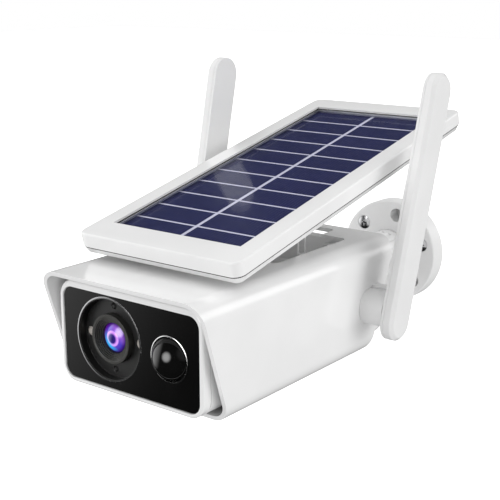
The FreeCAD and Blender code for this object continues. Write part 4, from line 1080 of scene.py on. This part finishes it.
@dataclass
class FrontFace:
    """The bezel, the black window, the lens and the motion sensor."""

    shop: Workshop
    ridges: int = 5
    mouth: float = 3.0 * MM
    rim: float = 1.2 * MM
    line: float = 0.4 * MM
    sunk: float = 0.1 * MM
    bead: float = 0.14 * MM
    slope: float = 0.3

    def build(self) -> None:
        """Builds and dresses every piece of the front face."""
        self.shop.soften("front_bezel", WHITE, 0.35 * MM)
        self.shop.soften("front_glass", BLACK_GLASS, 0.2 * MM)
        self.shop.soften("lens_well", BLACK, 0.15 * MM)
        self.shop.soften("lens_barrel", BARREL, 0.15 * MM)
        self.shop.dress(GREY_RUBBER, "bezel_seal")
        self.shop.dress(CLEAR_EPOXY, "infrared_lights")
        self.shop.dress(DARK_EPOXY, "front_sensors")
        self.shop.dress(BLACK, "lens_holder", "pir_sensor")
        self.shop.dress(BOARD_GREEN, "light_board", "sensor_board", "pir_board")
        self.shop.dress(DARK_EPOXY, "image_sensor")
        low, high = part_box("lens_glass")
        middle = (low + high) / 2
        # The lens takes painted reflections that glow a little.
        self.shop.dress(LensPaintedReflections("lens_painted_reflections", Slot.LENS, tuple(middle)), "lens_glass")
        self.shop.dress(DOME, "pir_dome")
        self.turn_ring()
        self.cut_ridges()
        self.line_well()

    def turn_ring(self) -> None:
        """Builds the bright ring round the motion sensor's dome, its outer half sloped."""
        centre, outer = front_centre("pir_ring")
        inner = min(front_centre("pir_dome")[1], outer - self.line)
        low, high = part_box("pir_ring")
        width, depth = outer - inner, high.y - low.y
        face = [(inner, -depth), (inner, 0.0), (inner + self.slope * width, 0.0),
                (outer, -self.slope * width), (outer, -depth)]
        self.shop.add("pir_ring_shown", lathe(face + face[:1], centre), TRIM, "camera", ["pir_ring"])

    def cut_ridges(self) -> None:
        """Builds the stepped ridges that stop glare in the barrel's mouth."""
        centre, radius = front_centre("lens_barrel")
        outer = radius - self.rim
        inner = front_centre("lens_glass")[1] + self.sunk
        depth = self.mouth / self.ridges
        narrowing = (outer - inner) / self.ridges
        stairs = []
        for i in range(self.ridges):
            forward = -self.sunk - i * depth
            stairs += [(outer - i * narrowing, forward), (outer - (i + 1) * narrowing, forward)]
        stairs += [(inner, -self.mouth), (outer, -2.5 * self.sunk), stairs[0]]
        self.shop.add("barrel_ridges", lathe(stairs, centre), BARREL, "camera")

    def line_well(self) -> None:
        """Builds the thin polished edge round the lens well, a low bead on the glass."""
        centre, radius = front_centre("lens_well")
        centre.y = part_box("front_glass")[0].y
        inner, outer = radius - self.line, radius + self.line
        edge = [(inner, -self.sunk), (inner, self.bead), (radius - self.line / 4, self.bead),
                (outer, self.bead / 7), (outer, -self.sunk)]
        self.shop.add("well_edge", lathe(edge + edge[:1], centre), DARK_TRIM, "camera")


@dataclass
class Interior:
    """The batteries, the main board and the speaker inside the case."""

    shop: Workshop

    def build(self) -> None:
        """Dresses every piece inside the case."""
        self.shop.dress(BOARD_GREEN, "main_board")
        self.shop.dress(WRAP, "battery_cells")
        self.shop.dress(BLACK, "battery_holder", "speaker")


@dataclass(frozen=True)
class Cells:
    """Rows and columns of thin cells with rounded corners."""

    columns: int
    rows: int
    size: tuple[float, float, float]
    pitch: tuple[float, float]
    corner: float = 0.6 * MM

    def build(self, centre: Vector, material: bpy.types.Material) -> bpy.types.Mesh:
        """Makes all the cells as one mesh, flat in the panel's own plane.

        Args:
            centre: The middle of the cells' underside.
            material: Their material.

        Returns:
            The mesh.
        """
        tree = Tree("solar_cells", {
            "Columns": self.columns, "Rows": self.rows, "Cell Size": self.size,
            "Pitch": (*self.pitch, 0.0), "Corner": self.corner,
        })
        width, length, depth = tree.node(
            "ShaderNodeSeparateXYZ", None, {0: tree.size("Cell Size")}
        ).outputs
        pitch = tree.node("ShaderNodeSeparateXYZ", None, {0: tree.size("Pitch")}).outputs
        spans = [
            tree.math("MULTIPLY", tree.math("SUBTRACT", tree.size(name), 1.0), step)
            for name, step in (("Columns", pitch[0]), ("Rows", pitch[1]))
        ]
        grid = tree.node("GeometryNodeMeshGrid", None, {
            "Size X": spans[0], "Size Y": spans[1],
            "Vertices X": tree.size("Columns"), "Vertices Y": tree.size("Rows"),
        }).outputs["Mesh"]
        outline = tree.node("GeometryNodeCurvePrimitiveQuadrilateral", None,
                            {"Width": width, "Height": length}).outputs[0]
        rounded = tree.node("GeometryNodeFilletCurve", {"mode": "POLY"}, {
            "Curve": outline, "Radius": tree.size("Corner"), "Count": 3,
        }).outputs[0]
        face = tree.node("GeometryNodeFillCurve", {"mode": "NGONS"}, {0: rounded}).outputs[0]
        raised = tree.node("GeometryNodeExtrudeMesh", None, {
            "Mesh": face, "Offset Scale": depth, "Individual": False,
        }).outputs["Mesh"]
        under = tree.node("GeometryNodeFlipFaces", None, {0: face}).outputs[0]
        both = tree.node("GeometryNodeJoinGeometry", None, {0: [raised, under]}).outputs[0]
        cell = tree.node("GeometryNodeMergeByDistance", None, {0: both, "Distance": 1e-6}).outputs[0]
        placed = tree.node("GeometryNodeInstanceOnPoints", None, {"Points": grid, "Instance": cell})
        moved = tree.node("GeometryNodeTransform", None, {
            "Geometry": placed.outputs[0], "Translation": tuple(centre),
        }).outputs[0]
        return tree.grow(moved, points_mesh([]), material)


@dataclass(frozen=True)
class Ribbons:
    """Flat tinned ribbons along the gaps between the cells."""

    rows: int
    pitch: float
    width: float
    length: float
    depth: float = 0.06 * MM

    def build(self, centre: Vector, material: bpy.types.Material) -> bpy.types.Mesh:
        """Makes the cross ribbons and the long middle one as one mesh.

        Args:
            centre: The middle of the ribbons' underside.
            material: Their material.

        Returns:
            The mesh.
        """
        tree = Tree("cell_ribbons", {
            "Gaps": self.rows - 1, "Pitch": self.pitch, "Width": self.width,
            "Length": self.length, "Depth": self.depth, "Middle Width": self.width * 1.7,
        })
        run = tree.math("MULTIPLY", tree.math("SUBTRACT", tree.size("Gaps"), 1.0), tree.size("Pitch"))
        line = tree.node("GeometryNodeMeshLine", {"mode": "END_POINTS"}, {
            "Count": tree.size("Gaps"),
            "Start Location": tree.vector(0.0, tree.math("MULTIPLY", run, -0.5)),
            "Offset": tree.vector(0.0, tree.math("MULTIPLY", run, 0.5)),
        }).outputs[0]
        strip = tree.node("GeometryNodeMeshCube", None, {
            "Size": tree.vector(tree.size("Length"), tree.size("Width"), tree.size("Depth")),
        }).outputs["Mesh"]
        across = tree.node("GeometryNodeInstanceOnPoints", None, {"Points": line, "Instance": strip})
        whole = tree.math("MULTIPLY", tree.math("ADD", tree.size("Gaps"), 1.0), tree.size("Pitch"))
        middle = tree.node("GeometryNodeMeshCube", None, {
            "Size": tree.vector(tree.size("Middle Width"), whole,
                                tree.math("MULTIPLY", tree.size("Depth"), 1.4)),
        }).outputs["Mesh"]
        both = tree.node("GeometryNodeJoinGeometry", None, {0: [across.outputs[0], middle]}).outputs[0]
        lifted = centre + Vector((0, 0, self.depth / 2))
        moved = tree.node("GeometryNodeTransform", None,
                          {"Geometry": both, "Translation": tuple(lifted)}).outputs[0]
        return tree.grow(moved, points_mesh([]), material)


@dataclass
class SolarPanel:
    """The framed solar panel on its folding arm."""

    shop: Workshop
    tilt: float = math.radians(12.78)
    columns: int = 2
    rows: int = 11
    seal: float = 0.9 * MM
    corner: float = 5.1 * MM
    sunk: float = 0.35 * MM

    def build(self) -> None:
        """Builds and dresses every piece of the panel and its arm."""
        self.shop.soften("panel_frame", WHITE, 0.5 * MM)
        self.shop.soften("panel_shell", WHITE, 0.4 * MM)
        self.shop.soften("support_arm", WHITE, 0.3 * MM)
        self.shop.soften("hinge_bracket", WHITE, 0.3 * MM)
        self.shop.dress(PANE, "panel_glass")
        self.shop.dress(BACKING, "cell_board")
        self.shop.dress(STEEL, "panel_pin")
        self.lay_cells()
        self.lay_seal()
        self.lay_seam()
        down = (math.pi + self.tilt, 0.0, 0.0)
        self.shop.screw_heads("shell_screws", down, 2.6 * MM, 1.1 * MM)
        self.shop.screw_heads("bracket_screws", down, 2.4 * MM, 1.2 * MM)

    def plane(self) -> Matrix:
        """Turns the panel's own flat frame into the model's frame, about the panel's hinge."""
        hinge = next(j for j in self.shop.joints if j["name"] == "panel_fold")
        return Matrix.Translation(hinge["pos_m"]) @ Matrix.Rotation(self.tilt, 4, "X")

    def flat_box(self, node: str) -> tuple[Vector, Vector]:
        """A node's lowest and highest corner in the panel's own frame."""
        back = self.plane().inverted()
        return extent([back @ v.co for v in self.shop.nodes[node].data.vertices])

    def lay_cells(self) -> None:
        """Builds the rows of cells and the ribbons between them."""
        low, high = self.flat_box("solar_cells")
        back = self.plane().inverted()
        one = extent([back @ p for p in solids(self.shop.nodes["solar_cells"].data)[0]])
        size = one[1] - one[0]
        pitch = ((high.x - low.x - size.x) / (self.columns - 1),
                 (high.y - low.y - size.y) / (self.rows - 1))
        middle = (low + high) / 2
        bed = Vector((middle.x, middle.y, low.z))
        cells = Cells(self.columns, self.rows, tuple(size), pitch)
        mesh = cells.build(bed, self.shop.material(CELL))
        mesh.transform(self.plane())
        self.shop.add("cells_shown", mesh, CELL, "panel", ["solar_cells"])
        ribbons = Ribbons(self.rows, pitch[1], 1.15 * MM, high.x - low.x)
        mesh = ribbons.build(Vector((middle.x, middle.y, high.z)), self.shop.material(RIBBON))
        mesh.transform(self.plane())
        self.shop.add("cell_ribbons", mesh, RIBBON, "panel")

    def lay_seal(self) -> None:
        """Builds the thin black seal that shows along the window's edge."""
        low, high = self.flat_box("cell_board")
        _, top = self.flat_box("panel_glass")
        inset = 2.5 * MM
        outer = (low.x + inset, low.y + inset, high.x - inset, high.y - inset)
        mesh = flat_ring(outer, 0.0, self.seal, top.z + 0.02 * MM, top.z + 0.25 * MM)
        mesh.transform(self.plane())
        self.shop.add("window_seal", mesh, RUBBER, "panel")

    def lay_seam(self) -> None:
        """Builds the dark gasket that shows in the parting line between frame and shell."""
        low, high = self.flat_box("panel_shell")
        proud = 0.04 * MM
        outer = (low.x - proud, low.y - proud, high.x + proud, high.y + proud)
        frame, _ = self.flat_box("panel_frame")
        mesh = flat_ring(outer, self.corner, 1.0 * MM, high.z - self.sunk, frame.z + 0.05 * MM)
        mesh.transform(self.plane())
        self.shop.add("panel_gasket", mesh, RUBBER, "panel")


def rounded_outline(
    outer: tuple[float, float, float, float], radius: float, steps: int = 8
) -> list[tuple[float, float]]:
    """The points of a rectangle with rounded corners.

    Args:
        outer: The left, front, right and rear.
        radius: The corners' radius; 0 gives square corners.
        steps: How many strips make up a corner.

    Returns:
        The points, anticlockwise from the rear right.
    """
    left, front, right, rear = outer
    if radius <= 0:
        return [(right, rear), (left, rear), (left, front), (right, front)]
    points = []
    centres = ((right - radius, rear - radius), (left + radius, rear - radius),
               (left + radius, front + radius), (right - radius, front + radius))
    for corner, (x, y) in enumerate(centres):
        for step in range(steps + 1):
            angle = (corner + step / steps) * math.pi / 2
            points.append((x + radius * math.cos(angle), y + radius * math.sin(angle)))
    return points


def flat_ring(
    outer: tuple[float, float, float, float], radius: float, width: float, bottom: float, top: float
) -> bpy.types.Mesh:
    """A flat rectangular ring.

    Args:
        outer: The outer left, front, right and rear.
        radius: The outer corners' radius.
        width: How wide the ring's sides are.
        bottom: The height of its underside.
        top: The height of its top.

    Returns:
        The closed mesh.
    """
    shape = bmesh.new()
    rings = []
    for inset, height in ((0.0, bottom), (0.0, top), (width, top), (width, bottom)):
        sides = (outer[0] + inset, outer[1] + inset, outer[2] - inset, outer[3] - inset)
        outline = rounded_outline(sides, radius - inset if radius else 0.0)
        rings.append([shape.verts.new((x, y, height)) for x, y in outline])
    for i, ring in enumerate(rings):
        after = rings[(i + 1) % 4]
        for j in range(len(ring)):
            k = (j + 1) % len(ring)
            shape.faces.new((ring[j], ring[k], after[k], after[j]))
    return closed(shape, "ring")


class Side(Enum):
    """The two sides that carry an antenna."""

    RIGHT = "right"
    LEFT = "left"


@dataclass
class Antenna:
    """A flat paddle antenna that swings on the case's hub."""

    shop: Workshop
    side: Side

    def build(self) -> None:
        """Builds and dresses the paddle's two halves and the strip inside."""
        self.shop.soften(f"antenna_shell_{self.side.value}", SATIN, 0.3 * MM)
        self.shop.soften(f"antenna_cover_{self.side.value}", SATIN, 0.3 * MM)
        self.shop.dress(BOARD_GREEN, f"antenna_strip_{self.side.value}")


# ------------------------------------------------------------------ studio


@dataclass(frozen=True)
class Glow:
    """A soft round patch in the surroundings."""

    towards: tuple[float, float, float]
    spread: float
    strength: float
    edge: float = 0.6

    def shine(self, graph: Graph, direction: bpy.types.NodeSocket) -> Value:
        """How bright the patch is in each direction.

        Args:
            graph: The surroundings' graph.
            direction: The direction that light comes from.

        Returns:
            The brightness.
        """
        aim = Vector(self.towards).normalized()
        dot = graph.node("ShaderNodeVectorMath", {"operation": "DOT_PRODUCT"}, {0: direction, 1: aim})
        outer = math.cos(math.radians(self.spread))
        inner = math.cos(math.radians(self.spread * (1 - self.edge)))
        return Value(graph, dot.outputs["Value"]).step(outer, inner) * self.strength


@dataclass(frozen=True)
class SoftBox:
    """A square soft light that faces the object."""

    name: str
    at: tuple[float, float, float]
    size: float
    power: float

    def hang(self, target: Vector) -> None:
        """Puts the light into the scene.

        Args:
            target: The point that it faces.
        """
        data = bpy.data.lights.new(self.name, "AREA")
        data.size = self.size
        data.energy = self.power
        lamp = bpy.data.objects.new(self.name, data)
        lamp.location = self.at
        lamp.rotation_mode = "QUATERNION"
        lamp.rotation_quaternion = (target - Vector(self.at)).to_track_quat("-Z", "Y")
        lamp.visible_glossy = False
        bpy.context.scene.collection.objects.link(lamp)


REFLECTED = (
    Glow((0.58, 0.74, 0.36), 16.0, 2.4),
    Glow((-0.97, -0.25, 0.05), 42.0, 2.1, 0.8),
    Glow((-0.10, -0.96, 0.22), 27.0, 9.0, 0.9),
    Glow((0.9, -0.1, 0.5), 40.0, 0.3),
    Glow((-0.35, 0.93, 0.05), 26.0, 0.5),
)
BOXES = (
    SoftBox("right", (1.65, 0.25, 0.30), 1.1, 9.0),
    SoftBox("left", (-1.15, -1.75, 0.25), 1.1, 8.0),
    SoftBox("top", (-1.05, -0.05, 1.65), 1.1, 11.0),
)


@dataclass
class Studio:
    """The pale floor, the soft lights, the surroundings and the camera."""

    position: Vector = field(default_factory=lambda: Vector((333.28, -593.14, 170.27)) * MM)
    forward: Vector = field(default_factory=lambda: Vector((-0.59184, 0.76687, -0.24825)))
    lens: float = 75.6
    drop: float = 1.0
    daylight: float = 0.86
    reflected: float = 0.02

    def build(self) -> None:
        """Sets up the whole studio."""
        low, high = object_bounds()
        self.aim_camera()
        self.lay_floor(low.z - self.drop)
        self.surround()
        for box in BOXES:
            box.hang((low + high) / 2)
        bpy.context.scene.view_settings.view_transform = "Standard"

    def aim_camera(self) -> None:
        """Makes the scene's camera."""
        data = bpy.data.cameras.new("view")
        data.lens = self.lens
        data.sensor_width = 36.0
        data.clip_start, data.clip_end = 0.01, 50.0
        camera = bpy.data.objects.new("view", data)
        camera.location = self.position
        camera.rotation_mode = "QUATERNION"
        camera.rotation_quaternion = self.forward.to_track_quat("-Z", "Y")
        bpy.context.scene.collection.objects.link(camera)
        bpy.context.scene.camera = camera

    def lay_floor(self, height: float) -> None:
        """Makes the plain pale floor, well below the object.

        Args:
            height: The floor's height, in metres.
        """
        shape = bmesh.new()
        bmesh.ops.create_grid(shape, x_segments=1, y_segments=1, size=20.0)
        bmesh.ops.translate(shape, verts=shape.verts, vec=(0, 0, height))
        mesh = bpy.data.meshes.new("floor")
        shape.to_mesh(mesh)
        shape.free()
        graph = new_graph("pale_floor")
        cloud = graph.noise(0.8, 2.0)
        mesh.materials.append(graph.finish(graph.shader({
            "Base Color": graph.blend(cloud, (0.93, 0.93, 0.93), (0.95, 0.95, 0.95)),
            "Roughness": 0.9,
            "Emission Color": (1.0, 1.0, 1.0, 1.0),
            "Emission Strength": 0.6,
        })))
        floor = bpy.data.objects.new("floor", mesh)
        floor.visible_glossy = False
        floor.visible_diffuse = False
        bpy.context.scene.collection.objects.link(floor)
        floor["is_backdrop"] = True

    def surround(self) -> None:
        """Makes white surroundings whose reflections are mostly dark with soft bright patches."""
        world = bpy.data.worlds.new("surroundings")
        bpy.context.scene.world = world
        graph = Graph(world)
        direction = graph.node("ShaderNodeTexCoord").outputs["Generated"]
        path = graph.node("ShaderNodeLightPath")
        shine = sum((glow.shine(graph, direction) for glow in REFLECTED), start=self.reflected)
        glossy = Value(graph, path.outputs["Is Glossy Ray"])
        seen = Value(graph, path.outputs["Is Camera Ray"])
        strength = seen + (1 - seen) * (glossy * shine + (1 - glossy) * self.daylight)
        light = graph.node("ShaderNodeBackground", None, {0: (1.0, 1.0, 1.0, 1.0), 1: strength})
        graph.node("ShaderNodeOutputWorld", None, {0: light.outputs[0]})


def corners(box: tuple[Vector, Vector]) -> list[list[float]]:
    """A box's two corners as plain lists."""
    return [list(box[0]), list(box[1])]


def main() -> None:
    """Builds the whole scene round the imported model."""
    logging.basicConfig(level=logging.INFO, format="%(name)s: %(message)s")
    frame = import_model()
    shop = Workshop(frame)
    Studio().build()
    for part in (
        WallBracket(shop), CameraCase(shop), FrontFace(shop), Interior(shop), SolarPanel(shop),
        Antenna(shop, Side.RIGHT), Antenna(shop, Side.LEFT),
    ):
        LOG.info("building %s", type(part).__name__)
        part.build()


if __name__ == "__main__":
    main()
